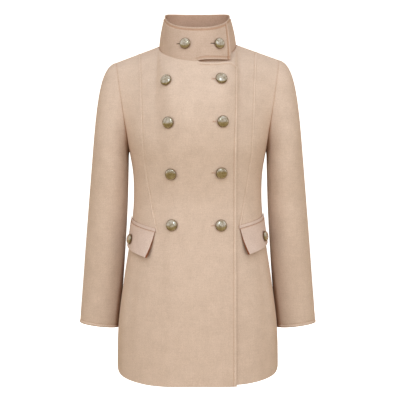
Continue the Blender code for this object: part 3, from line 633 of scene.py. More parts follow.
def ramp(nodes, links, value, stops):
    made = nodes.new("ShaderNodeValToRGB")
    made.color_ramp.elements[0].position = stops[0][0]
    made.color_ramp.elements[0].color = stops[0][1]
    made.color_ramp.elements[1].position = stops[-1][0]
    made.color_ramp.elements[1].color = stops[-1][1]
    for position, colour in stops[1:-1]:
        extra = made.color_ramp.elements.new(position)
        extra.color = colour
    links.new(value, made.inputs["Fac"])
    return made.outputs["Color"]


def mottle(nodes, links, place, grain, stops):
    """Colours of a ramp, spread over the piece by a noise."""
    return ramp(nodes, links, noise(nodes, links, place, grain), stops)


def multiply(nodes, links, share, first, second):
    made = nodes.new("ShaderNodeMix")
    made.data_type = "RGBA"
    made.blend_type = "MULTIPLY"
    made.inputs["Factor"].default_value = share
    links.new(first, made.inputs["A"])
    links.new(second, made.inputs["B"])
    return made.outputs["Result"]


def bump(nodes, links, height, strength, depth, below=None):
    made = nodes.new("ShaderNodeBump")
    made.inputs["Strength"].default_value = strength
    made.inputs["Distance"].default_value = depth
    links.new(height, made.inputs["Height"])
    if below is not None:
        links.new(below, made.inputs["Normal"])
    return made.outputs["Normal"]


print("pale fibres of the collar:", [round(part, 3) for part in tinted(WOOL_PALE, COLLAR_TINT)])

# %% Felted wool
# Grains: scale, detail and roughness of a noise.
FIBRE_GRAIN = (520.0, 5.0, 0.70)
FLECK_GRAIN = (1500.0, 2.0, 0.55)
CLOUD_GRAIN = (34.0, 3.0, 0.55)
SLUB_GRAIN = (1.0, 2.0, 0.55)
NAP_GRAIN = (240.0, 4.0, 0.65)
FUZZ_GRAIN = (1300.0, 3.0, 0.55)
NAP_DEPTH = 0.0012
FUZZ_DEPTH = 0.0004
# Stops: value, colour.
FLECK_STOPS = ((0.30, (0.62, 0.58, 0.55, 1.0)), (0.42, WHITE))
CLOUD_STOPS = ((0.30, (0.90, 0.89, 0.88, 1.0)), (0.70, WHITE))
SLUB_STOPS = ((0.32, (0.86, 0.84, 0.82, 1.0)), (0.62, WHITE))
# Painted shade: occlusion value, and the rosy brown that creases and overlaps are darkened to.
PAINTED_SHADE_STOPS = ((0.20, (0.66, 0.47, 0.36, 1.0)), (0.80, WHITE))
# Painted relief: white for a raised margin as a highlight, darker for a pressed line as shade.
PAINTED_RELIEF_STOPS = ((0.0, WHITE), (0.5, (0.955, 0.948, 0.940, 1.0)), (1.0, (0.78, 0.64, 0.55, 1.0)))
FIBRE_SPAN = (0.34, 0.66)
FLECK_SHARE = 0.30
CLOUD_SHARE = 0.8
SLUB_SHARE = 0.24
YARN_STRETCH = ((420.0, 420.0, 38.0), (38.0, 38.0, 420.0))
PAINTED_SHADE_REACH = 0.012
PAINTED_SHADE_SAMPLES = 12
WOOL_ROUGH = 0.95
WOOL_GLOSS = 0.12
SHEEN_ROUGH = 0.45
SHEEN_TINT = (1.0, 0.74, 0.54, 1.0)


def wool_material(name, pale, deep, sheen, nap):
    made, nodes, links, shader, place = new_material(name)
    colour = mottle(nodes, links, place, FIBRE_GRAIN, tuple(zip(FIBRE_SPAN, (deep, pale))))
    layers = [
        (FLECK_SHARE, place, FLECK_GRAIN, FLECK_STOPS),
        (CLOUD_SHARE, place, CLOUD_GRAIN, CLOUD_STOPS),
    ]
    for stretch in YARN_STRETCH:
        yarn = nodes.new("ShaderNodeMapping")
        yarn.inputs["Scale"].default_value = stretch
        links.new(place, yarn.inputs["Vector"])
        layers.append((SLUB_SHARE, yarn.outputs["Vector"], SLUB_GRAIN, SLUB_STOPS))
    for share, spot, grain, stops in layers:
        colour = multiply(nodes, links, share, colour, mottle(nodes, links, spot, grain, stops))
    # Painted shade: an occlusion node darkens the colour to a rosy brown in creases, grooves and under
    # every overlap.
    painted_shade = nodes.new("ShaderNodeAmbientOcclusion")
    painted_shade.samples = PAINTED_SHADE_SAMPLES
    painted_shade.inputs["Distance"].default_value = PAINTED_SHADE_REACH
    colour = multiply(nodes, links, 1.0, colour, ramp(nodes, links, painted_shade.outputs["AO"], PAINTED_SHADE_STOPS))
    # Painted highlight and shade: a value kept on each panel paints raised margins paler and pressed lines
    # and seam lines darker.
    kept = nodes.new("ShaderNodeAttribute")
    kept.attribute_name = "relief"
    colour = multiply(nodes, links, 1.0, colour, ramp(nodes, links, kept.outputs["Fac"], PAINTED_RELIEF_STOPS))
    links.new(colour, shader.inputs["Base Color"])
    shader.inputs["Roughness"].default_value = WOOL_ROUGH
    shader.inputs["Specular IOR Level"].default_value = WOOL_GLOSS
    shader.inputs["Sheen Weight"].default_value = sheen
    shader.inputs["Sheen Roughness"].default_value = SHEEN_ROUGH
    shader.inputs["Sheen Tint"].default_value = SHEEN_TINT
    coarse = bump(nodes, links, noise(nodes, links, place, NAP_GRAIN), nap, NAP_DEPTH)
    fine = bump(nodes, links, noise(nodes, links, place, FUZZ_GRAIN), nap, FUZZ_DEPTH, coarse)
    links.new(fine, shader.inputs["Normal"])
    return made


def tinted_wool(name, tint, nap):
    return wool_material(name, tinted(WOOL_PALE, tint), tinted(WOOL_DEEP, tint), sheen=0.22, nap=nap)


WOOL = tinted_wool("felted_wool", WHITE, nap=0.35)
COLLAR_WOOL = tinted_wool("felted_wool_collar", COLLAR_TINT, nap=0.35)
FLAP_WOOL = tinted_wool("felted_wool_flap", FLAP_TINT, nap=0.30)
FLAP_SHADOW = wool_material("flap_painted_shadow", FLAP_SHADOW_PALE, FLAP_SHADOW_DEEP, sheen=0.0, nap=0.20)
SHADED_INSIDE = wool_material("wool_inside_painted_shade", INSIDE_SHADE_PALE, INSIDE_SHADE_DEEP, sheen=0.05, nap=0.30)
THREAD = wool_material("sewing_thread", THREAD_PALE, THREAD_DEEP, sheen=0.10, nap=0.15)
print("cloth materials:", WOOL.name, SHADED_INSIDE.name, THREAD.name)

# %% [markdown]
# ## Cloth with real edges
# A thick wool never ends in a sharp corner: a sewn edge rolls into its seam and a turned edge
# is folded round. So a panel is built from its middle surface, and its thickness closes in a
# round towards every edge. Rows and columns crowd together near the edges, where that happens,
# and round the lines of topstitching, which press a shallow channel into the cloth.

# %% Edges, margins and stitched lines
STEP = 0.006
END_GAP = 0.6  # share of a step between the crowded end and the even middle
# Distances from an edge at which a panel gets a row or a column.
PLAIN = (0.0, 0.0002, 0.0006, 0.0012, 0.0020, 0.0034)
STITCHED = PLAIN + (0.0048, 0.0056, 0.0063, 0.0070, 0.0077, 0.0084, 0.0094)
OPEN = (0.0,)
# Kinds of edge: radius of the rounding, share of the thickness that is left.
FOLD = (0.00125, 0.10)
SEAM = (0.0026, 0.66)
ARMHOLE = (0.0026, 0.70)
NECK = (0.0018, 0.82)
# Painted shade: how dark the line along the sewn armhole is painted, and below it the same for the stitched
# lines of the fronts.
ARMHOLE_SHADE = 0.40  # how much the sewn armhole is deepened
EDGE_SHADE = 0.60  # the same for stitched lines of the fronts
STITCH_IN = 0.0070  # distance of a stitched line from its edge
CHANNEL = 0.00080  # depth to which it is pressed in
CHANNEL_WIDTH = 0.0012
PUFF = 0.00100  # height of the margin outside it
PUFF_WIDTH = 0.0024
SEAM_STITCH_IN = 0.0055  # distance of the princess stitching from its seam
# Painted shade: how dark the stitched line of a cuff is painted.
CUFF_LINE_SHADE = 0.50  # how much the stitched line of a cuff is deepened
PRINCESS_SHARE = 0.90  # depth of the princess stitching against other lines
SHADE_LINE_WIDTH = 0.0020
FAR = 9.0  # stands for the distance to an edge that a point doesn't belong to


def spread(length, first, last, step=STEP):
    """Shares of a length, crowded at either end as its edge needs."""
    start = np.array(first) / length
    end = 1.0 - np.array(last) / length
    low = start[-1] + (0.0 if len(first) == 1 else END_GAP * step / length)
    high = end[-1] - (0.0 if len(last) == 1 else END_GAP * step / length)
    middle = np.linspace(low, high, max(2, round((high - low) * length / step) + 1))
    return np.unique(np.concatenate([start, middle, end]).round(9))


def run(points, axis):
    """Length along the rows or columns of a grid, from its first one."""
    steps = np.linalg.norm(np.diff(points, axis=axis), axis=-1)
    start = np.zeros_like(np.take(steps, [0], axis=axis))
    return np.concatenate([start, np.cumsum(steps, axis=axis)], axis=axis)


def rounded(edges):
    """Share of the thickness that is left near the listed (distance, kind of edge) pairs."""
    left = 1.0
    for distance, (radius, least) in edges:
        near = np.clip(distance / radius, 0.0, 1.0)
        left = np.minimum(left, mix(least, 1.0, np.sqrt(1.0 - (1.0 - near) ** 2)))
    return left


def where(test, distance):
    return np.where(test, distance, FAR)


def hump(distance, middle, width):
    return np.exp(-(((distance - middle) / width) ** 2))


def channel(distance, inset=STITCH_IN):
    """Depth of a stitched line and, below zero, height of the margin outside it."""
    return CHANNEL * hump(distance, inset, CHANNEL_WIDTH) - PUFF * hump(distance, inset / 2.0, PUFF_WIDTH)


def pulled(points, first, then):
    return SEAM_GAP / 2.0 * unit(points[then] - points[first])


print("columns across a 60 mm strip with two seams:", len(spread(0.06, PLAIN, PLAIN)))

# %% Sewing a panel
# Painted relief: 0 paints a raised margin paler as a highlight, 1 paints a pressed line darker as shade.
PLAIN_PAINTED_RELIEF = 0.5  # kept on cloth that is neither raised nor pressed
# The wearer's hands: word, direction along X.
HANDS = (("right", -1.0), ("left", 1.0))
CLOTH = {}
PANELS = {}


def both_faces(points, toward, middle, half, pressed=0.0):
    """Outer and inner grid of a cloth from the level of its middle and half its thickness."""
    centre = points + np.asarray(middle)[..., None] * toward
    return centre + (half - pressed)[..., None] * toward, centre - half[..., None] * toward


def new_piece(name, points, faces, materials, slots=None, smooth=True):
    """Mesh piece; slots tells which of its materials each face has."""
    mesh = bpy.data.meshes.new(name)
    mesh.from_pydata(np.asarray(points, float).tolist(), [], faces)
    for material in materials:
        mesh.materials.append(material)
    if slots is not None:
        mesh.polygons.foreach_set("material_index", slots)
    if smooth:
        mesh.shade_smooth()
    mesh.update()
    made = bpy.data.objects.new(name, mesh)
    bpy.context.collection.objects.link(made)
    return made


def sew(name, panel, flip=False, cloth=None, inner_shade=None):
    """Closed mesh between the two grids of a panel; its inner face takes a darker material that paints
    shade, and so do its walls when that material is given.
    """
    outer, inner = panel["outer"], panel["inner"]
    rows, columns = outer.shape[:2]
    kept = panel.get("kept", np.ones((rows - 1, columns - 1), bool))
    count = rows * columns
    index = np.arange(count).reshape(rows, columns)
    a = index[:-1, :-1][kept]
    b = index[:-1, 1:][kept]
    c = index[1:, 1:][kept]
    d = index[1:, :-1][kept]
    front = np.stack([a, b, c, d], axis=1)
    behind = front[:, ::-1] + count
    sides = np.concatenate([front[:, [k, (k + 1) % 4]] for k in range(4)])
    rim = sides[~np.isin(sides[:, 0] * count + sides[:, 1], sides[:, 1] * count + sides[:, 0])]
    wall = np.stack([rim[:, 0], rim[:, 0] + count, rim[:, 1] + count, rim[:, 1]], axis=1)
    faces = np.concatenate([front, wall, behind])
    if flip:
        faces = faces[:, ::-1]
    points = np.concatenate([outer.reshape(-1, 3), inner.reshape(-1, 3)])
    used, place = np.unique(faces, return_inverse=True)
    slots = np.zeros(len(faces), np.int32)
    # Inner faces, and the walls when a shade material is given, take the painted shade material.
    slots[len(front) + (0 if inner_shade else len(wall)) :] = 1
    turned = place.reshape(faces.shape).tolist()
    made = new_piece(name, points[used], turned, (cloth or WOOL, inner_shade or SHADED_INSIDE), slots)
    # Painted highlight and shade: the outer face keeps the panel's painted relief, the inner face the plain
    # value.
    relief = np.full((2, count), PLAIN_PAINTED_RELIEF, np.float32)
    pressed = np.clip(panel.get("relief", np.zeros(outer.shape[:2])), -1.0, 1.0)
    relief[0] += PLAIN_PAINTED_RELIEF * pressed.reshape(-1)
    shade = made.data.attributes.new("relief", "FLOAT", "POINT")
    shade.data.foreach_set("value", relief.reshape(-1)[used])
    return made


def dress(piece, *nodes):
    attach(piece, "root")
    if nodes:
        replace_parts(piece, *nodes)
    return piece


def make_panel(name, panel, flip=False, cloth=None, inner_shade=None):
    """Sew a panel, put it in place of its solid and keep its grids for the stitching."""
    PANELS[name] = panel
    CLOTH[name] = dress(sew("cloth_" + name, panel, flip, cloth, inner_shade), name)
    print(name, len(CLOTH[name].data.polygons), "faces")


print("thickness of the cloth:", WALL, "m")

# %% [markdown]
# ## Soft folds in the body
# The coat hangs from the shoulders, so the skirt falls in a few very soft flutes, and the
# weight of the pocket flap pulls a shallow valley below its front corner. Each is one row of
# a table: where it lies, how wide it is and how far the cloth moves.

# %% Folds of the body
# Columns: turn, rise, half width in turn, half length in rise, height.
BODY_FOLD_ROWS = (
    (-0.66, 0.50, 0.040, 0.26, -0.0022),
    (-0.76, 0.40, 0.055, 0.36, 0.0016),
    (0.68, 0.50, 0.040, 0.26, -0.0022),
    (0.78, 0.40, 0.055, 0.36, 0.0016),
    (-0.35, 0.18, 0.090, 0.24, 0.0010),
    (0.52, 0.15, 0.080, 0.24, 0.0010),
    (-1.42, 0.20, 0.100, 0.50, 0.0022),
    (1.42, 0.20, 0.100, 0.50, 0.0022),
    (-1.75, 0.20, 0.090, 0.50, -0.0018),
    (1.75, 0.20, 0.090, 0.50, -0.0018),
)


def folded(rows, first, second):
    """Sum of soft bumps and valleys from a fold table."""
    height = 0.0
    for at_first, at_second, half_first, half_second, amount in rows:
        spot = ((first - at_first) / half_first) ** 2 + ((second - at_second) / half_second) ** 2
        height = height + amount * np.exp(-spot)
    return height


print("deepest body fold:", min(row[4] for row in BODY_FOLD_ROWS), "m")

# %% [markdown]
# ## Fronts
# Each front is cut in one piece from the shoulder to the hem. It runs past the centre to its
# free edge, and below the pocket it reaches back to the side seam. The right front lies on
# top, so it stands off the left one by a cloth thickness. Its free edge, its top edge and the
# princess seams are topstitched.

# %% Rows shared by all body panels
# Lengths and widths that set how many rows and columns a part of a panel gets.
SKIRT_LONG = 0.338
WAIST_LONG = 0.178
CHEST_LONG = 0.200
HIP_WIDE = 0.130
YOKE_WIDE = 0.050
NECK_WIDE = 0.100
SIDE_WIDE = 0.060
SKIRT = spread(SKIRT_LONG, PLAIN, PLAIN)
WAIST = 1.0 + spread(WAIST_LONG, PLAIN, OPEN)[1:]
CHEST = 2.0 + spread(CHEST_LONG, OPEN, STITCHED)[1:]
ROWS = np.concatenate([SKIRT, WAIST, CHEST])
POCKET_ROW = len(SKIRT) - 1
ARM_ROW = POCKET_ROW + len(WAIST)
HIP_SHARES = spread(HIP_WIDE, PLAIN, PLAIN)[:-1]
YOKE_SHARES = spread(YOKE_WIDE, STITCHED, OPEN)[:-1]
NECK_SHARES = spread(NECK_WIDE, OPEN, OPEN)
LAP_SHARES = spread(OVER_EDGE, OPEN, STITCHED)[1:]
SIDE_SHARES = spread(SIDE_WIDE, PLAIN, PLAIN)
print("rows up the body:", len(ROWS))

# %% Hem, lap and grid of the fronts


def hem_start(turn):
    lift = LEFT_HEM_LIFT * np.clip(1.0 - np.abs(turn) / 2.0, 0.0, 1.0)
    return lift / (pocket_height(turn) - curve(HEM_ROWS, 1, np.abs(turn)))


def lifted(turn, rise, side):
    start = hem_start(turn) if side > 0.0 else 0.0
    return np.where(rise < 1.0, mix(start, 1.0, rise), rise)


def lap_grid(side):
    reach = OVER_EDGE if side < 0.0 else -UNDER_EDGE
    x = reach * LAP_SHARES
    if side < 0.0:
        top = mix(LAP_TOP_Z, LAP_CORNER_Z, LAP_SHARES)
    else:
        top = -NECK_DROP * np.cos(np.arcsin(np.abs(x) / NECK_HALF)) - UNDER_TOP_DROP
    stop = front_at(x, top)[1]
    rise = np.where(ROWS[:, None] > 2.0, 2.0 + (ROWS[:, None] - 2.0) * (stop - 2.0), ROWS[:, None])
    rise = rise + np.zeros_like(x)
    return turn_at(rise, np.full(rise.shape, reach)) * LAP_SHARES, rise


def front_grid(side):
    seam = seam_turn(ROWS, side)[:, None]
    hip = mix(side, seam, HIP_SHARES)
    yoke = seam * mix(1.0, SHOULDER_SHARE, YOKE_SHARES)
    neck = seam * mix(SHOULDER_SHARE, 0.0, NECK_SHARES)
    lap, lap_rise = lap_grid(side)
    turn = np.concatenate([hip, yoke, neck, lap], axis=1)
    rise = np.broadcast_to(ROWS[:, None], turn.shape).copy()
    rise[:, -len(LAP_SHARES) :] = lap_rise
    return turn, lifted(turn, rise, side)


print("left hem starts at rise", hem_start(np.array(0.0)).round(4), "of the skirt")

# %% Front panels


def front_panel(side):
    turn, rise = front_grid(side)
    points = torso(turn, rise)
    toward = torso_normal(turn, rise)
    hips = len(HIP_SHARES)
    first_neck = hips + len(YOKE_SHARES)
    last_neck = first_neck + len(NECK_SHARES) - 1
    part = np.abs(turn[-1])
    toward[-1, hips:first_neck] = shoulder_direction(part[hips:first_neck], side)
    sewn = slice(first_neck, last_neck + 1)
    toward[-1, sewn] = neck_direction(side * part[sewn] / NECK_TURN * 90.0)
    shift = np.zeros_like(points)
    top = slice(hips, last_neck + 1)
    shift[-1, top] += pulled(points, (-1, top), (-2, top))
    flank = slice(0, POCKET_ROW + 1)
    shift[flank, 0] += pulled(points, (flank, 0), (flank, 1))
    hip = slice(0, hips)
    shift[POCKET_ROW, hip] += pulled(points, (POCKET_ROW, hip), (POCKET_ROW - 1, hip))
    above = slice(POCKET_ROW + 1, None)
    shift[above, hips] += pulled(points, (above, hips), (above, hips + 1))
    level = lap_level(points[..., 0]) if side < 0.0 else np.zeros(turn.shape)
    level = level + folded(BODY_FOLD_ROWS, turn, rise)
    points = points + shift
    across = run(points, 1)
    upward = run(points, 0)
    row = np.arange(len(ROWS))[:, None]
    column = np.arange(turn.shape[1])[None, :]
    seam = where((row > POCKET_ROW) & (column >= hips), across - across[:, hips : hips + 1])
    panel = {
        "free": across[:, -1:] - across,
        "hem": upward,
        "top": upward[-1:] - upward,
        "side": where(row <= POCKET_ROW, across),
        "seam": seam,
        "pocket": where(column < hips, np.abs(upward[POCKET_ROW] - upward)),
    }
    stitched_top = where(column > last_neck, panel["top"])
    pressed = PRINCESS_SHARE * channel(panel["seam"], SEAM_STITCH_IN)
    if side < 0.0:
        pressed = pressed + channel(panel["free"]) + channel(stitched_top)
    left = rounded(
        (
            (panel["free"], FOLD),
            (panel["hem"], FOLD),
            (stitched_top, FOLD),
            (where(column <= last_neck, panel["top"]), NECK),
            (panel["side"], SEAM),
            (panel["seam"], SEAM),
            (panel["pocket"], SEAM),
        )
    )
    # Painted shade along the stitched lines and painted highlight on their raised margins.
    panel["relief"] = (EDGE_SHADE * np.maximum(pressed, 0.0) + np.minimum(pressed, 0.0)) / CHANNEL
    half = WALL / 2.0 * left
    panel["outer"], panel["inner"] = both_faces(points, toward, level - WALL / 2.0, half, pressed)
    panel["toward"] = toward
    panel["top_stitch"] = stitched_top
    kept = np.ones((turn.shape[0] - 1, turn.shape[1] - 1), bool)
    kept[POCKET_ROW:, :hips] = False
    panel["kept"] = kept
    return panel


for word, hand in HANDS:
    make_panel("front_" + word, front_panel(hand), hand > 0.0)

# %% [markdown]
# ## Side fronts and backs
# The side front fills the wedge between princess seam, pocket line and side seam, and shapes
# the waist. The two backs are plain and meet in a centre seam. Nothing on them is topstitched
# in the part of the coat that shows, so they only get rolled seams and a folded hem.

# %% Side front and back panels
BACK_ARM_WIDE = 0.070
BACK_YOKE_WIDE = 0.060
BACK_NECK_WIDE = 0.110


def plain_panel(points, toward, turn, rise, arm_row, foot):
    """Body panel without topstitching; its foot is a seam or a fold."""
    across = run(points, 1)
    upward = run(points, 0)
    high = np.arange(len(points))[:, None] >= arm_row
    left = rounded(
        (
            (where(high, across), ARMHOLE),
            (where(~high, across), SEAM),
            (across[:, -1:] - across, SEAM),
            (upward, foot),
            (upward[-1:] - upward, SEAM),
        )
    )
    level = folded(BODY_FOLD_ROWS, turn, rise)
    outer, inner = both_faces(points, toward, level - WALL / 2.0, WALL / 2.0 * left)
    # Painted shade: a darker line along the sewn armhole.
    relief = ARMHOLE_SHADE * hump(where(high, across), 0.0, SHADE_LINE_WIDTH)
    return {"outer": outer, "inner": inner, "relief": relief}


def side_front_panel(side):
    rise = ROWS[POCKET_ROW:, None]
    turn = mix(side, seam_turn(rise, side), SIDE_SHARES)
    rise = np.broadcast_to(rise, turn.shape)
    points = torso(turn, rise)
    toward = torso_normal(turn, rise)
    toward[-1] = shoulder_direction(np.abs(turn[-1]), side)
    arm = slice(ARM_ROW - POCKET_ROW, None)
    around = HALF_LOOP * (3.0 - ROWS[ARM_ROW:])
    toward[arm, 0] = armhole_direction(around, side) * np.array((side, 1.0, 1.0))
    shift = np.zeros_like(points)
    every = slice(None)
    shift[0] += pulled(points, 0, 1)
    shift[-1] += pulled(points, -1, -2)
    shift[:, 0] += pulled(points, (every, 0), (every, 1))
    shift[:, -1] += pulled(points, (every, -1), (every, -2))
    return plain_panel(points + shift, toward, turn, rise, arm.start, SEAM)


def back_panel(side):
    seam = float(seam_turn(np.array(3.0), 1.0))
    arm = mix(1.0 - BEHIND, seam, spread(BACK_ARM_WIDE, PLAIN, OPEN))[:-1]
    yoke = mix(seam, NECK_TURN, spread(BACK_YOKE_WIDE, OPEN, OPEN))[:-1]
    neck = mix(NECK_TURN, 0.0, spread(BACK_NECK_WIDE, OPEN, PLAIN))
    part = np.concatenate([arm, yoke, neck])
    turn = np.broadcast_to(side * (2.0 - part), (len(ROWS), len(part)))
    rise = lifted(turn, np.broadcast_to(ROWS[:, None], turn.shape), side)
    points = torso(turn, rise)
    toward = torso_normal(turn, rise)
    toward[: ARM_ROW + 1, 0] = torso_normal(np.full(ARM_ROW + 1, side), rise[: ARM_ROW + 1, 0])
    toward[-1] = shoulder_direction(part, side)
    toward[-1, len(arm) + len(yoke) :] = neck_direction(side * (180.0 - neck / NECK_TURN * 90.0))
    around = HALF_LOOP * (ROWS[ARM_ROW:] - 1.0)
    toward[ARM_ROW:, 0] = armhole_direction(around, side) * np.array((side, 1.0, 1.0))
    shift = np.zeros_like(points)
    every = slice(None)
    shift[-1] += pulled(points, -1, -2)
    shift[:, 0] += pulled(points, (every, 0), (every, 1))
    shift[:, -1] += np.array((side * SEAM_GAP / 2.0, 0.0, 0.0))
    return plain_panel(points + shift, toward, turn, rise, ARM_ROW, FOLD)


for word, hand in HANDS:
    make_panel("side_front_" + word, side_front_panel(hand), hand > 0.0)
    make_panel("back_" + word, back_panel(hand), hand < 0.0)

# %% [markdown]
# ## Sleeves
# The sleeves hang almost smooth. A few soft creases run from the front of the armpit, where
# the cap is eased in, and a shallow one lies inside the elbow. The cuff is turned up and held
# by one line of stitching just above the fold.

# %% Sleeve panels
CAP_LONG = 0.170
ARM_LONG = 0.366
LOOP_LONG = 0.0155  # cloth in one step round the armhole
# Columns: around, along, half width around, half length along, height.
SLEEVE_FOLD_ROWS = (
    (5.6, 0.86, 1.10, 0.10, -0.0020),
    (6.2, 1.08, 1.30, 0.10, 0.0016),
    (4.6, 1.22, 1.60, 0.09, -0.0014),
    (7.4, 1.42, 1.60, 0.08, -0.0018),
    (6.4, 1.54, 1.70, 0.08, 0.0014),
    (14.4, 1.00, 1.40, 0.12, -0.0018),
    (13.6, 1.30, 1.60, 0.10, 0.0014),
)
SLEEVE_DOWN = np.concatenate([spread(CAP_LONG, PLAIN, OPEN), 1.0 + spread(ARM_LONG, OPEN, STITCHED)[1:]])


def sleeve_panel(first, last, hand):
    shares = spread((last - first) * LOOP_LONG, PLAIN, PLAIN)
    around, along = np.meshgrid(mix(float(first), float(last), shares), SLEEVE_DOWN)
    points = sleeve(around, along, hand)
    toward = sleeve_normal(around, along, hand)
    toward[0] = armhole_direction(around[0], hand)
    shift = np.zeros_like(points)
    every = slice(None)
    shift[0] += pulled(points, 0, 1)
    shift[:, 0] += pulled(points, (every, 0), (every, 1))
    shift[:, -1] += pulled(points, (every, -1), (every, -2))
    points = points + shift
    across = run(points, 1)
    downward = run(points, 0)
    cuff = downward[-1:] - downward
    left = rounded(
        (
            (across, SEAM),
            (across[:, -1:] - across, SEAM),
            (downward, ARMHOLE),
            (cuff, FOLD),
        )
    )
    loop = np.mod(around, 2.0 * HALF_LOOP)
    level = folded(SLEEVE_FOLD_ROWS, loop, along)
    mirror = np.array((hand, 1.0, 1.0))
    pressed = channel(cuff)
    outer, inner = both_faces(points, toward, level - WALL / 2.0, WALL / 2.0 * left, pressed)
    # Painted shade along the sewn armhole and along the cuff's stitched line.
    return {
        "outer": outer * mirror,
        "inner": inner * mirror,
        "toward": toward * mirror,
        "cuff": cuff,
        "relief": ARMHOLE_SHADE * hump(downward, 0.0, SHADE_LINE_WIDTH) + CUFF_LINE_SHADE * pressed / CHANNEL,
    }


UNDER_SPAN = (SLEEVE_SEAMS[0], SLEEVE_SEAMS[1])
TOP_SPAN = (SLEEVE_SEAMS[1], SLEEVE_SEAMS[0] + 2 * HALF_LOOP)
for word, hand in HANDS:
    for name, span in (("sleeve_under_" + word, UNDER_SPAN), ("sleeve_top_" + word, TOP_SPAN)):
        make_panel(name, sleeve_panel(*span, hand), hand < 0.0)

# %% [markdown]
# ## Collar
# The stand collar is a double strip of wool, stiff enough to stand. Its rim is rolled, with a
# valley below the roll and a line of topstitching below that. The same finish runs down its
# free end and, more softly, along the foot of its lap, and a stitched line crosses it at the
# wearer's right. Where the free end leaves the neck seam, it gapes a little.

# %% Collar panel
COLLAR_UNDER_LONG = 0.045
COLLAR_OVER_LONG = 0.085
COLLAR_HIGH = 0.060
COLLAR_COLUMNS = 121
BANDED = STITCHED + (0.0104, 0.0114, 0.0126, 0.0140)
BAND_IN = 0.0098
VALLEY = 0.0012
VALLEY_IN = 0.0058
VALLEY_WIDTH = 0.0026
ROLL = 0.0006
ROLL_WIDTH = 0.0020
RIDGE = 0.0004
CROSS_ANGLE = 300.0
CROSS_WIDTH = 2.2
FOOT_BAND = 0.7
FOOT_BAND_FROM = 352.0
FOOT_BAND_GROWS = 14.0
GAPE_RISE = 0.033
GAPE_OUT = 0.0045
GAPE_FROM = 0.10
GAPE_PEAK = 0.26
GAPE_END = 0.95


def band(distance):
    """Relief of a rolled edge: a roll, a valley and the ridge that carries the stitches."""
    sunk = VALLEY * hump(distance, VALLEY_IN, VALLEY_WIDTH)
    return sunk - ROLL * hump(distance, 0.0, ROLL_WIDTH) - RIDGE * hump(distance, BAND_IN, CHANNEL_WIDTH)


def gape_at(angle):
    """Share of the gape at an angle: none on the sewn neck, most near the start of the free end."""
    past = (angle - 360.0) / COLLAR_OVER
    return ease(past / GAPE_FROM) * (1.0 - ease((past - GAPE_PEAK) / (GAPE_END - GAPE_PEAK)))


def collar_panel():
    under = mix(-COLLAR_UNDER, 0.0, spread(COLLAR_UNDER_LONG, STITCHED, OPEN))[:-1]
    sewn = np.linspace(0.0, 360.0, COLLAR_COLUMNS)
    over = mix(360.0, 360.0 + COLLAR_OVER, spread(COLLAR_OVER_LONG, OPEN, BANDED))[1:]
    angle = np.concatenate([under, sewn, over])
    climb = spread(COLLAR_HIGH, BANDED, BANDED)[:, None]
    free = COLLAR_FREE_LIFT * ease(-angle / COLLAR_FREE_SPAN)
    gape = gape_at(angle)
    lean = GAPE_OUT * gape * (1.0 - climb) ** 2
    climb = mix(free + GAPE_RISE * gape, 1.0, climb)
    angle = np.broadcast_to(angle, climb.shape)
    points = collar(angle, climb)
    toward = collar_normal(angle, climb)
    joined = (angle[0] >= 0.0) & (angle[0] <= 360.0)
    toward[0, joined] = neck_direction(angle[0, joined])
    shift = np.zeros_like(points)
    shift[0] += np.where(joined[:, None], pulled(points, 0, 1), 0.0)
    front = (angle[0] > 270.0) & (angle[0] <= 360.0)
    level = np.where(front, lap_level(points[0, :, 0]), 0.0)
    level = np.where(angle[0] > 360.0, WALL + LAP_GAP, level)[None, :] + lean
    points = points + shift
    across = run(points, 1)
    upward = run(points, 0)
    panel = {
        "low": upward,
        "rim": upward[-1:] - upward,
        "start": across,
        "end": across[:, -1:] - across,
        "toward": toward,
        "angle": angle,
    }
    left = rounded(
        (
            (where(joined, panel["low"]), NECK),
            (where(~joined, panel["low"]), FOLD),
            (panel["rim"], FOLD),
            (panel["start"], FOLD),
            (panel["end"], FOLD),
        )
    )
    past_neck = ease((angle - FOOT_BAND_FROM) / FOOT_BAND_GROWS)
    pressed = band(np.minimum(panel["rim"], panel["end"]))
    pressed = pressed + FOOT_BAND * past_neck * band(panel["low"])
    pressed = pressed - RIDGE * hump(angle, CROSS_ANGLE, CROSS_WIDTH)
    # Painted relief of the collar: paler on the roll and the ridges, darker in the valley.
    panel["relief"] = pressed / VALLEY
    half = WALL / 2.0 * left
    panel["outer"], panel["inner"] = both_faces(points, toward, level - WALL / 2.0, half, pressed)
    return panel


make_panel("collar", collar_panel(), cloth=COLLAR_WOOL)

# %% [markdown]
# ## Pocket flaps and welts
# The flap is a double piece of wool sewn into the slanted pocket mouth. It falls outward at
# its front corner. Its back and edges are painted dark brown as the shadow under it, and at the
# front edge its back is pushed out so that this painted shadow shows as a thin wedge. A narrow
# welt lies above it.

# %% Flap and welt panels
FLAP_WIDE = 0.130
FLAP_WALL = 0.0030
FLAP_START = 0.006
FLAP_END = 0.980
FLAP_DROP = 0.0585
FLAP_FRONT_LEAN = 0.053
FLAP_BUTTON_PLACE = (0.66, 0.61)
FLAP_BACK_LEAN = 0.045
FLAP_LIFT = 0.0085
FLAP_FLARE = 0.0014
SHADOW_PEEK = 0.0042
SHADOW_REACH = 0.0040
WELT_WALL = 0.0022
WELT_WIDTH = 0.0070
WELT_LEVELS = 11


def flap_surface(across, down, side):
    start = POCKET_TURN + FLAP_START + FLAP_FRONT_LEAN * down
    end = FLAP_END - FLAP_BACK_LEAN * down
    part = mix(start, end, across)
    seam = mix(POCKET_TURN + FLAP_START, FLAP_END, across)
    height = pocket_height(side * seam) - SEAM_GAP - FLAP_DROP * down
    lift = FLAP_LIFT * down**2 * (1.0 - across) ** 2 + FLAP_FLARE * down**2
    return side * part, height, TRIM_GAP + lift


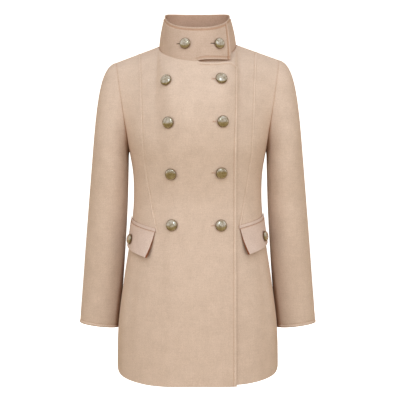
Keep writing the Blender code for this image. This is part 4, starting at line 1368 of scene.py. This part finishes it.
def at_height(turn, height):
    part = np.abs(turn)
    points = ring(part, np.zeros(part.shape, bool), height)
    return points * stack(np.sign(turn), np.ones_like(turn), np.ones_like(turn))


def height_normal(turn, height):
    across = at_height(turn + SMALL, height) - at_height(turn - SMALL, height)
    up = at_height(turn, height + SMALL) - at_height(turn, height - SMALL)
    return unit(np.cross(across, up))


def flap_panel(side):
    across, down = np.meshgrid(spread(FLAP_WIDE, PLAIN, PLAIN), 1.0 - spread(FLAP_DROP, PLAIN, PLAIN))
    turn, height, level = flap_surface(across, down, side)
    points = at_height(turn, height)
    toward = height_normal(turn, height)
    sideways = run(points, 1)
    upward = run(points, 0)
    panel = {"front": sideways, "back": sideways[:, -1:] - sideways, "low": upward}
    left = rounded(
        (
            (panel["front"], FOLD),
            (panel["back"], FOLD),
            (panel["low"], FOLD),
            (upward[-1:] - upward, SEAM),
        )
    )
    outer, inner = both_faces(points, toward, level + FLAP_WALL / 2.0, FLAP_WALL / 2.0 * left)
    # Painted shadow: the back, painted dark brown, is pushed forward at the front edge so that it shows as
    # a thin dark wedge.
    forward = unit(points[:, :1] - points[:, 1:2])
    peek = SHADOW_PEEK * down * np.exp(-panel["front"] / SHADOW_REACH)
    panel["outer"] = outer
    panel["inner"] = inner + peek[..., None] * forward
    # Painted shade: a dark line along the flap's sewn top edge.
    panel["relief"] = hump(upward[-1:] - upward, 0.0, SHADE_LINE_WIDTH)
    return panel


def welt_panel(side):
    across, up = np.meshgrid(spread(FLAP_WIDE, PLAIN, PLAIN), np.linspace(0.0, 1.0, WELT_LEVELS))
    turn = side * mix(POCKET_TURN, FLAP_END, across)
    height = pocket_height(turn) + mix(SEAM_GAP, WELT_WIDTH, up)
    points = at_height(turn, height)
    toward = height_normal(turn, height)
    sideways = run(points, 1)
    upward = run(points, 0)
    left = rounded(
        (
            (sideways, FOLD),
            (sideways[:, -1:] - sideways, FOLD),
            (upward, SEAM),
            (upward[-1:] - upward, SEAM),
        )
    )
    outer, inner = both_faces(points, toward, TRIM_GAP + WELT_WALL / 2.0, WELT_WALL / 2.0 * left)
    return {"outer": outer, "inner": inner}


for word, hand in HANDS:
    make_panel("pocket_flap_" + word, flap_panel(hand), hand < 0.0, FLAP_WOOL, FLAP_SHADOW)
    make_panel("pocket_welt_" + word, welt_panel(hand), hand < 0.0, FLAP_WOOL)

# %% [markdown]
# ## Topstitching
# Topstitching is sewn with a thread a little paler than the cloth, in stitches about three
# millimetres long. Each stitch is a short rounded thread that dips into the wool at both
# ends. A line is found by walking along a panel at a set distance from its edge.

# %% Thread helpers
THREAD_RADIUS = 0.00040
STITCH_LONG = 0.0032
STITCH_PITCH = 0.0043
THREAD_SIDES = 6
# Columns: share of the stitch, share of the radius, height in radii.
THREAD_ROWS = (
    (0.00, 0.45, -0.9),
    (0.18, 0.90, 0.1),
    (0.50, 1.00, 0.4),
    (0.82, 0.90, 0.1),
    (1.00, 0.45, -0.9),
)


def trace(panel, edge, inset, axis):
    """Line on a panel at a distance from one edge: its points and outward directions."""
    distance, place, out = panel[edge], panel["outer"], panel["toward"]
    if axis == 0:
        distance, place, out = distance.T, place.swapaxes(0, 1), out.swapaxes(0, 1)
    found = []
    for gap, spots, ways in zip(distance, place, out):
        order = np.argsort(gap)
        columns = np.concatenate([spots, ways], axis=1)[order].T
        found.append([np.interp(inset, gap[order], values) for values in columns])
    found = np.array(found)
    return found[:, :3], unit(found[:, 3:])


def stitches_on(lines):
    """Start, end and outward direction of every stitch along some lines."""
    found = []
    for place, out in lines:
        length = np.concatenate([[0.0], np.cumsum(np.linalg.norm(np.diff(place, axis=0), axis=1))])
        starts = np.arange(0.0, length[-1] - STITCH_LONG, STITCH_PITCH)
        for start in starts:
            ends = np.array((start, start + STITCH_LONG))
            spots = np.stack([np.interp(ends, length, place[:, k]) for k in range(3)], axis=1)
            way = np.array([np.interp(ends[0], length, out[:, k]) for k in range(3)])
            found.append((spots[0], spots[1], unit(way)))
    return found


def thread_piece(name, threads, radius):
    """All threads of a list as one mesh; each is a rounded strand that dips in at both ends."""
    points = []
    faces = []
    for start, end, out in threads:
        first = len(points)
        side = unit(np.cross(end - start, out))
        for share, wide, height in THREAD_ROWS:
            spot = mix(start, end, share) + height * radius * out
            for k in range(THREAD_SIDES):
                bend = 2.0 * math.pi * k / THREAD_SIDES
                points.append(spot + wide * radius * (math.cos(bend) * side + math.sin(bend) * out))
        for i in range(len(THREAD_ROWS) - 1):
            for k in range(THREAD_SIDES):
                a = first + i * THREAD_SIDES + k
                b = first + i * THREAD_SIDES + (k + 1) % THREAD_SIDES
                faces.append((a, b, b + THREAD_SIDES, a + THREAD_SIDES))
        last = first + (len(THREAD_ROWS) - 1) * THREAD_SIDES
        faces.append(tuple(range(first + THREAD_SIDES - 1, first - 1, -1)))
        faces.append(tuple(range(last, last + THREAD_SIDES)))
    made = new_piece(name, points, faces, (THREAD,))
    print(name, "with", len(threads), "stitches")
    return dress(made)


def topstitch(name, lines):
    return thread_piece(name, stitches_on(lines), THREAD_RADIUS)


def part_of(line, keep):
    return line[0][keep], line[1][keep]


print("stitches in ten centimetres:", round(0.1 / STITCH_PITCH))

# %% Sew every line of stitching
CORNER_COLUMN = -8  # column of the right front just outside its stitched line
SEWN = {}
over = PANELS["front_right"]
corner = over["top_stitch"][:, CORNER_COLUMN] > STITCH_IN
edge_line = part_of(trace(over, "free", STITCH_IN, 1), corner)
lap_columns = slice(-len(LAP_SHARES), None)
inside = over["free"][-1, lap_columns] > STITCH_IN
top_line = part_of(part_of(trace(over, "top", STITCH_IN, 0), lap_columns), inside)
princess = slice(POCKET_ROW + 2, -2)
seam_line = part_of(trace(over, "seam", SEAM_STITCH_IN, 1), princess)
SEWN["front_right"] = topstitch("stitches_front_right", (edge_line, top_line, seam_line))
seam_line = part_of(trace(PANELS["front_left"], "seam", SEAM_STITCH_IN, 1), princess)
SEWN["front_left"] = topstitch("stitches_front_left", (seam_line,))

neck = PANELS["collar"]
clear = np.minimum(neck["start"][-1], neck["end"][-1]) > BAND_IN
rim_line = part_of(trace(neck, "rim", BAND_IN, 0), clear)
clear = np.minimum(neck["low"][:, -1], neck["rim"][:, -1] - BAND_IN) > 0.0
end_line = part_of(trace(neck, "end", BAND_IN, 1), clear)
column = int(np.argmin(np.abs(neck["angle"][0] - CROSS_ANGLE)))
clear = neck["rim"][:, column] > BAND_IN
cross_line = (neck["outer"][clear, column], neck["toward"][clear, column])
SEWN["collar"] = topstitch("stitches_collar", (rim_line, end_line, cross_line))

for word, _ in HANDS:
    for name in ("sleeve_top_" + word, "sleeve_under_" + word):
        SEWN[name] = topstitch("stitches_" + name, (trace(PANELS[name], "cuff", STITCH_IN, 0),))

# %% [markdown]
# ## Dome buttons
# The buttons are stamped from thin sheet brass and plated: a shank, a flat back, a rolled rim
# and a high plain dome. The plating is bright on the dome, with worn patches. The rim and the
# back are painted a dark brown as shade, which rings each dome with a dark edge. Each one is a
# turned profile on the axis of its seat in the cloth.

# %% Plated metal
METAL_BRIGHT = (0.86, 0.83, 0.76, 1.0)
METAL_WORN = (0.52, 0.45, 0.31, 1.0)
# Painted shade: dark brown for the rim and the back of each button, mottled like the dome.
RIM_SHADE_LIGHT = (0.42, 0.34, 0.20, 1.0)
RIM_SHADE_WORN = (0.20, 0.15, 0.08, 1.0)
WEAR_GRAIN = (150.0, 4.0, 0.6)
WEAR_SPAN = (0.30, 0.62)
POLISH_GRAIN = (600.0, 3.0, 0.55)
POLISH_SPAN = (0.12, 0.28)
DENT_GRAIN = (260.0, 2.0, 0.55)
DENT_STRENGTH = 0.12
DENT_DEPTH = 0.0006


def metal_material(name, bright, worn):
    made, nodes, links, shader, place = new_material(name)
    colour = mottle(nodes, links, place, WEAR_GRAIN, tuple(zip(WEAR_SPAN, (worn, bright))))
    links.new(colour, shader.inputs["Base Color"])
    shader.inputs["Metallic"].default_value = 1.0
    polish = nodes.new("ShaderNodeMapRange")
    polish.inputs["To Min"].default_value = POLISH_SPAN[0]
    polish.inputs["To Max"].default_value = POLISH_SPAN[1]
    links.new(noise(nodes, links, place, POLISH_GRAIN), polish.inputs["Value"])
    links.new(polish.outputs["Result"], shader.inputs["Roughness"])
    dents = bump(nodes, links, noise(nodes, links, place, DENT_GRAIN), DENT_STRENGTH, DENT_DEPTH)
    links.new(dents, shader.inputs["Normal"])
    return made


METAL = metal_material("plated_button", METAL_BRIGHT, METAL_WORN)
SHADED_RIM_METAL = metal_material("rim_painted_shade", RIM_SHADE_LIGHT, RIM_SHADE_WORN)
print("button materials:", METAL.name, SHADED_RIM_METAL.name)

# %% Button shape and rows
FRONT_BUTTON = 0.0130
COLLAR_BUTTON = 0.0122
FLAP_BUTTON = 0.0120
# Columns: x, z.
FRONT_BUTTON_ROWS = (
    (-0.0677, -0.0851),
    (0.0520, -0.0820),
    (-0.0625, -0.1772),
    (0.0538, -0.1748),
    (-0.0577, -0.2896),
    (0.0517, -0.2870),
    (-0.0559, -0.4042),
    (0.0508, -0.4046),
)
COLLAR_BUTTON_ROWS = (
    (-0.0262, -0.0018),
    (0.0459, -0.0014),
)
BUTTON_SIDES = 48
# Columns: share of the radius, height above the cloth.
SHANK_ROWS = ((0.0, 0.0004), (0.24, 0.0004), (0.26, 0.0006), (0.26, 0.0022), (0.80, 0.0024))
RIM_SHARE = 0.955
RIM_BEAD = 0.045
RIM_HEIGHT = 0.0034
BEAD_HEIGHT = 0.0009
BEAD_STEPS = 11
BEAD_FROM = -80.0
BEAD_TURN = 23.0
DOME_SHARE = 0.93
DOME_FOOT = 0.0038
DOME_STEPS = 16
BUTTON_TOP = 0.0084
RIM_LAST = 15


def button_profile():
    """Radius share and height from the foot of the shank to the top of the dome."""
    rows = list(SHANK_ROWS)
    for step in range(BEAD_STEPS):
        bend = math.radians(BEAD_FROM + BEAD_TURN * step)
        rows.append((RIM_SHARE + RIM_BEAD * math.cos(bend), RIM_HEIGHT + BEAD_HEIGHT * math.sin(bend)))
    for step in range(1, DOME_STEPS + 1):
        bend = math.radians(90.0 * step / DOME_STEPS)
        height = DOME_FOOT + (BUTTON_TOP - DOME_FOOT) * math.sin(bend)
        rows.append((DOME_SHARE * math.cos(bend), height))
    return rows


def add_button(name, seat, axis, radius):
    axis = unit(np.asarray(axis, float))
    level = unit(np.cross(np.array((0.0, 0.0, 1.0)), axis))
    upright = np.cross(axis, level)
    rows = button_profile()[1:-1]
    points = []
    for share, height in rows:
        for k in range(BUTTON_SIDES):
            bend = 2.0 * math.pi * k / BUTTON_SIDES
            spoke = math.cos(bend) * level + math.sin(bend) * upright
            points.append(seat + height * axis + share * radius * spoke)
    faces = []
    for i in range(len(rows) - 1):
        for k in range(BUTTON_SIDES):
            a = i * BUTTON_SIDES + k
            b = i * BUTTON_SIDES + (k + 1) % BUTTON_SIDES
            faces.append((a, b, b + BUTTON_SIDES, a + BUTTON_SIDES))
    bottom = len(points)
    points.append(seat + rows[0][1] * axis)
    points.append(seat + BUTTON_TOP * axis)
    high = (len(rows) - 1) * BUTTON_SIDES
    for k in range(BUTTON_SIDES):
        after = (k + 1) % BUTTON_SIDES
        faces.append((bottom, after, k))
        faces.append((bottom + 1, high + k, high + after))
    slots = np.zeros(len(faces), np.int32)
    # Painted shade on the rim and the back.
    slots[: RIM_LAST * BUTTON_SIDES] = 1
    made = new_piece(name, points, faces, (METAL, SHADED_RIM_METAL), slots)
    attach(made, "root")
    return made


print("rings in a button:", len(button_profile()))

# %% Buttons on their seats


def front_seat(x, z):
    turn, rise = front_at(x, z)
    axis = torso_normal(turn, rise)
    return torso(turn, rise) + lap_level(np.asarray(x))[..., None] * axis, axis


def collar_seat(x, z):
    guess = 360.0 + np.degrees(np.arcsin(np.asarray(x) / NECK_HALF))
    angle, climb = seen_at(collar, guess, 0.5, 1.0, x, z, COLLAR_STRIDE)
    axis = collar_normal(angle, climb)
    level = WALL + LAP_GAP + GAPE_OUT * gape_at(angle) * (1.0 - climb) ** 2
    return collar(angle, climb) + np.asarray(level)[..., None] * axis, axis


for number, (x, z) in enumerate(FRONT_BUTTON_ROWS, 1):
    seat, axis = front_seat(x, z)
    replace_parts(add_button(f"dome_front_{number}", seat, axis, FRONT_BUTTON), f"button_front_{number}")
for number, (x, z) in enumerate(COLLAR_BUTTON_ROWS, 1):
    seat, axis = collar_seat(x, z)
    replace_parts(add_button(f"dome_collar_{number}", seat, axis, COLLAR_BUTTON), f"button_collar_{number}")
for word, hand in HANDS:
    turn, height, level = flap_surface(*np.array(FLAP_BUTTON_PLACE), hand)
    axis = height_normal(turn, height)
    seat = at_height(turn, height) + (level + FLAP_WALL) * axis
    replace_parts(add_button(f"dome_flap_{word}", seat, axis, FLAP_BUTTON), f"button_flap_{word}")
print("buttons:", len(FRONT_BUTTON_ROWS) + len(COLLAR_BUTTON_ROWS) + 2)

# %% [markdown]
# ## Buttonholes
# Only the outer column of buttons on the lapped front does any work, and both buttons of the
# collar. Each of these sits at the end of a worked hole: a slit whose two lips are covered by
# close stitches of thread. The slits of the collar gape; each is a flat strip painted near black
# as the shadow inside the opening. Those of the front are pressed shut, and their strip is
# painted a rosy brown as the shade between the closed lips.

# %% Slits and worked lips
HOLE_LONG = 0.0205
COLLAR_HOLE_LONG = 0.0185
HOLE_PAST = 0.0030
HOLE_LIP = 0.0019
HOLE_THREAD = 0.00034
HOLE_PITCH = 0.00075
SLIT_HALF = 0.00080
SLIT_RISE = 0.00012
SLIT_GRAIN = (900.0, 2.0, 0.55)
SLIT_SPAN = (0.3, 0.7)
SLIT_ROUGH = 0.95
END_STITCHES = 7
END_FROM = 90.0
END_TURN = 30.0


def slit_shade_material(name, deep, pale):
    made, nodes, links, shader, place = new_material(name)
    colour = mottle(nodes, links, place, SLIT_GRAIN, tuple(zip(SLIT_SPAN, (deep, pale))))
    links.new(colour, shader.inputs["Base Color"])
    shader.inputs["Roughness"].default_value = SLIT_ROUGH
    return made


# Painted shadow in the open slits of the collar and painted shade in the shut slits of the front.
OPEN_SLIT_SHADOW = slit_shade_material("open_slit_painted_shadow", (0.030, 0.016, 0.010, 1.0), (0.080, 0.045, 0.030, 1.0))
SHUT_SLIT_SHADE = slit_shade_material("shut_slit_painted_shade", (0.480, 0.310, 0.240, 1.0), (0.600, 0.410, 0.320, 1.0))


def buttonhole(name, seat_at, x, z, long, shade):
    """Slit and its worked lips, ending under a button."""
    count = round((long + HOLE_PAST) / HOLE_PITCH)
    spots, out = seat_at(np.linspace(x - long, x + HOLE_PAST, count), np.full(count, z))
    along = unit(np.gradient(spots, axis=0))
    above = unit(np.cross(out, along))
    threads = []
    for side in (-1.0, 1.0):
        for spot, way, lip in zip(spots, out, above):
            threads.append((spot + side * SLIT_HALF * lip, spot + side * HOLE_LIP * lip, way))
    for step in range(END_STITCHES):
        bend = math.radians(END_FROM + END_TURN * step)
        spoke = math.cos(bend) * along[0] + math.sin(bend) * above[0]
        threads.append((spots[0] + SLIT_HALF * spoke, spots[0] + HOLE_LIP * spoke, out[0]))
    lips = thread_piece(name + "_lips", threads, HOLE_THREAD)
    # The slit is a flat strip in a painted shade material, just above the cloth.
    edge = SLIT_HALF * above
    floor = spots + SLIT_RISE * out
    points = np.concatenate([floor - edge, floor + edge])
    faces = [(i, i + 1, count + i + 1, count + i) for i in range(count - 1)]
    slit = new_piece(name + "_slit", points, faces, (shade,), smooth=False)
    return lips, dress(slit)


HOLES = {"front_right": [], "collar": []}
for number, (x, z) in enumerate(FRONT_BUTTON_ROWS, 1):
    if x > 0.0:
        made = buttonhole(f"buttonhole_front_{number}", front_seat, x, z, HOLE_LONG, SHUT_SLIT_SHADE)
        HOLES["front_right"] += made
for number, (x, z) in enumerate(COLLAR_BUTTON_ROWS, 1):
    made = buttonhole(f"buttonhole_collar_{number}", collar_seat, x, z, COLLAR_HOLE_LONG, OPEN_SLIT_SHADOW)
    HOLES["collar"] += made
print("buttonholes:", (len(HOLES["front_right"]) + len(HOLES["collar"])) // 2)

# %% [markdown]
# ## The cuts
# Before sewing, each panel was a flat cut with a seam allowance of about ten millimetres and a
# deeper turning at hem and cuff. This table gives every cut as its width, its length and the
# area of cloth inside that rectangle, with the pieces that it hangs from or lies on. The loop
# below gathers the stitching and buttonholes sewn in each panel and does nothing more with them.

# %% Flat cuts
# Columns: panel, width, length, area, how it is held, panels that carry it.
CUT_ROWS = (
    ("front_right", 0.400, 0.870, 0.2500, "hung", ("collar", "back_right")),
    ("front_left", 0.360, 0.870, 0.2200, "hung", ("collar", "back_left")),
    ("side_front_right", 0.150, 0.465, 0.0400, "hung", ("front_right", "back_right")),
    ("side_front_left", 0.150, 0.465, 0.0400, "hung", ("front_left", "back_left")),
    ("back_right", 0.285, 0.830, 0.2000, "hung", ("collar",)),
    ("back_left", 0.285, 0.830, 0.2000, "hung", ("collar",)),
    ("sleeve_top_right", 0.385, 0.670, 0.1580, "hung", ("side_front_right", "back_right")),
    ("sleeve_top_left", 0.385, 0.670, 0.1580, "hung", ("side_front_left", "back_left")),
    ("sleeve_under_right", 0.180, 0.570, 0.0580, "hung", ("sleeve_top_right", "back_right")),
    ("sleeve_under_left", 0.180, 0.570, 0.0580, "hung", ("sleeve_top_left", "back_left")),
    ("collar", 0.730, 0.115, 0.0660, "folded", ("back_right", "back_left")),
    ("pocket_flap_right", 0.147, 0.080, 0.0088, "hung", ("front_right", "side_front_right")),
    ("pocket_flap_left", 0.147, 0.080, 0.0088, "hung", ("front_left", "side_front_left")),
    ("pocket_welt_right", 0.135, 0.0125, 0.0013, "laid", ("side_front_right",)),
    ("pocket_welt_left", 0.135, 0.0125, 0.0013, "laid", ("side_front_left",)),
)
for panel, wide, long, area, held, carried_by in CUT_ROWS:
    extras = list(HOLES.get(panel, []))
    if panel in SEWN:
        extras.append(SEWN[panel])
print("cloth in the whole coat:", round(sum(row[3] for row in CUT_ROWS), 3), "square metres")

# %% [markdown]
# ## Studio
# The coat is shown as on an invisible form, in front of white. A large pale floor and a white
# surround that only the camera sees give the plain background. A wide soft panel lights the
# front, a warm one each side, a cool one the shoulders and one the back. A narrow panel is the
# only one that the domes mirror. The sky is brighter than the ground, which gives the domes
# their bright upper half.

# %% Floor and surround
FLOOR_Z = -1.02
FLOOR_HALF = 11.0
FLOOR_GLOW = 0.75
SURROUND = 14.0
SURROUND_GLOW = 1.0
SQUARE = ((-1, -1), (1, -1), (1, 1), (-1, 1))
STAGE_GRAIN = (3.0, 2.0, 0.55)
STAGE_STOPS = ((0.3, (0.93, 0.93, 0.93, 1.0)), (0.7, (0.95, 0.95, 0.95, 1.0)))
STAGE_ROUGH = 0.9


def pale_material(name, glow):
    made, nodes, links, shader, place = new_material(name)
    links.new(mottle(nodes, links, place, STAGE_GRAIN, STAGE_STOPS), shader.inputs["Base Color"])
    shader.inputs["Roughness"].default_value = STAGE_ROUGH
    shader.inputs["Emission Color"].default_value = WHITE
    shader.inputs["Emission Strength"].default_value = glow
    return made


def stage_mesh(name, points, faces, glow):
    made = new_piece(name, points, faces, (pale_material(name + "_white", glow),), smooth=False)
    made.visible_glossy = False
    made.visible_diffuse = False
    return made


corners = [(x * FLOOR_HALF, y * FLOOR_HALF, FLOOR_Z) for x, y in SQUARE]
stage_mesh("floor", corners, [(0, 1, 2, 3)], FLOOR_GLOW)
corners = [(x * SURROUND, y * SURROUND, z * SURROUND) for z in (-1, 1) for x, y in SQUARE]
walls = [(0, 1, 2, 3), (4, 7, 6, 5), (0, 4, 5, 1), (1, 5, 6, 2), (2, 6, 7, 3), (3, 7, 4, 0)]
surround = stage_mesh("surround", corners, walls, SURROUND_GLOW)
surround.visible_shadow = False
print("floor below the hem:", round(HEM_ROWS[0][1] - FLOOR_Z, 3), "m")

# %% Sky
# Stops: height from straight down to straight up, colour.
SKY_STOPS = (
    (0.30, (0.50, 0.37, 0.17, 1.0)),
    (0.47, (0.56, 0.43, 0.22, 1.0)),
    (0.53, (0.87, 0.80, 0.72, 1.0)),
    (1.00, (1.0, 0.94, 0.87, 1.0)),
)
SKY_STRENGTH = 0.66
world = bpy.data.worlds.new("studio")
bpy.context.scene.world = world
world.use_nodes = True
nodes, links = world.node_tree.nodes, world.node_tree.links
sky = nodes["Background"]
direction = nodes.new("ShaderNodeTexCoord").outputs["Generated"]
split = nodes.new("ShaderNodeSeparateXYZ")
links.new(direction, split.inputs["Vector"])
lift = nodes.new("ShaderNodeMapRange")
lift.inputs["From Min"].default_value = -1.0
links.new(split.outputs["Z"], lift.inputs["Value"])
links.new(ramp(nodes, links, lift.outputs["Result"], SKY_STOPS), sky.inputs["Color"])
sky.inputs["Strength"].default_value = SKY_STRENGTH
print("shades of the sky:", len(SKY_STOPS))

# %% Soft panels
WARM = (1.0, 0.94, 0.88)
COOL = (0.70, 0.87, 1.0)
NEUTRAL = (0.98, 0.98, 0.98)
MIDDLE = (0.0, 0.0, -0.35)
CHEST_HEIGHT = (0.0, 0.0, -0.25)
SHOULDERS = (0.0, 0.0, -0.15)
# Columns: name, place, aim, width, height, watts, colour, mirrored in the domes.
LIGHT_ROWS = (
    ("front_panel", (0.0, -3.5, 0.20), MIDDLE, 4.2, 2.2, 36.0, NEUTRAL, False),
    ("right_panel", (-2.4, -2.0, -0.10), MIDDLE, 1.4, 2.0, 21.0, WARM, False),
    ("left_panel", (2.4, -2.0, -0.10), MIDDLE, 1.4, 2.0, 23.0, WARM, False),
    ("top_panel", (0.0, -1.1, 0.75), SHOULDERS, 1.4, 0.7, 5.0, COOL, False),
    ("sparkle_panel", (0.0, -1.9, 0.95), CHEST_HEIGHT, 0.25, 1.0, 3.2, COOL, True),
    ("back_panel", (0.0, 3.2, 0.5), MIDDLE, 2.6, 2.2, 30.0, NEUTRAL, False),
)


def face_to(made, aim):
    made.rotation_euler = (made.location - Vector(aim)).to_track_quat("Z", "Y").to_euler()


def soft_panel(name, place, aim, wide, high, power, colour, mirrored):
    data = bpy.data.lights.new(name, "AREA")
    data.shape = "RECTANGLE"
    data.size = wide
    data.size_y = high
    data.energy = power
    data.color = colour
    made = bpy.data.objects.new(name, data)
    bpy.context.collection.objects.link(made)
    made.location = place
    face_to(made, aim)
    made.visible_glossy = mirrored
    return made


for row in LIGHT_ROWS:
    soft_panel(*row)
bpy.context.scene.view_settings.view_transform = "Standard"
print("lights:", len(bpy.data.lights))

# %% [markdown]
# ## Camera
# The photograph looks straight at the front from about three metres, a little above the
# middle of the coat, with a long lens. The lens is given as pixels of a 400 pixel wide picture.

# %% Camera at the photograph's place
PICTURE = 400.0
LENS_PIXELS = 1306.0
SENSOR = 36.0
CAMERA_AT = (0.0053, -3.0, -0.237)
CAMERA_AIM = (0.0053, 0.0, -0.352)
view = bpy.data.cameras.new("photo_view")
view.sensor_width = SENSOR
view.lens = SENSOR * LENS_PIXELS / PICTURE
camera = bpy.data.objects.new("photo_view", view)
bpy.context.collection.objects.link(camera)
camera.location = CAMERA_AT
face_to(camera, CAMERA_AIM)
bpy.context.scene.camera = camera
print("lens", round(view.lens, 1), "mm")
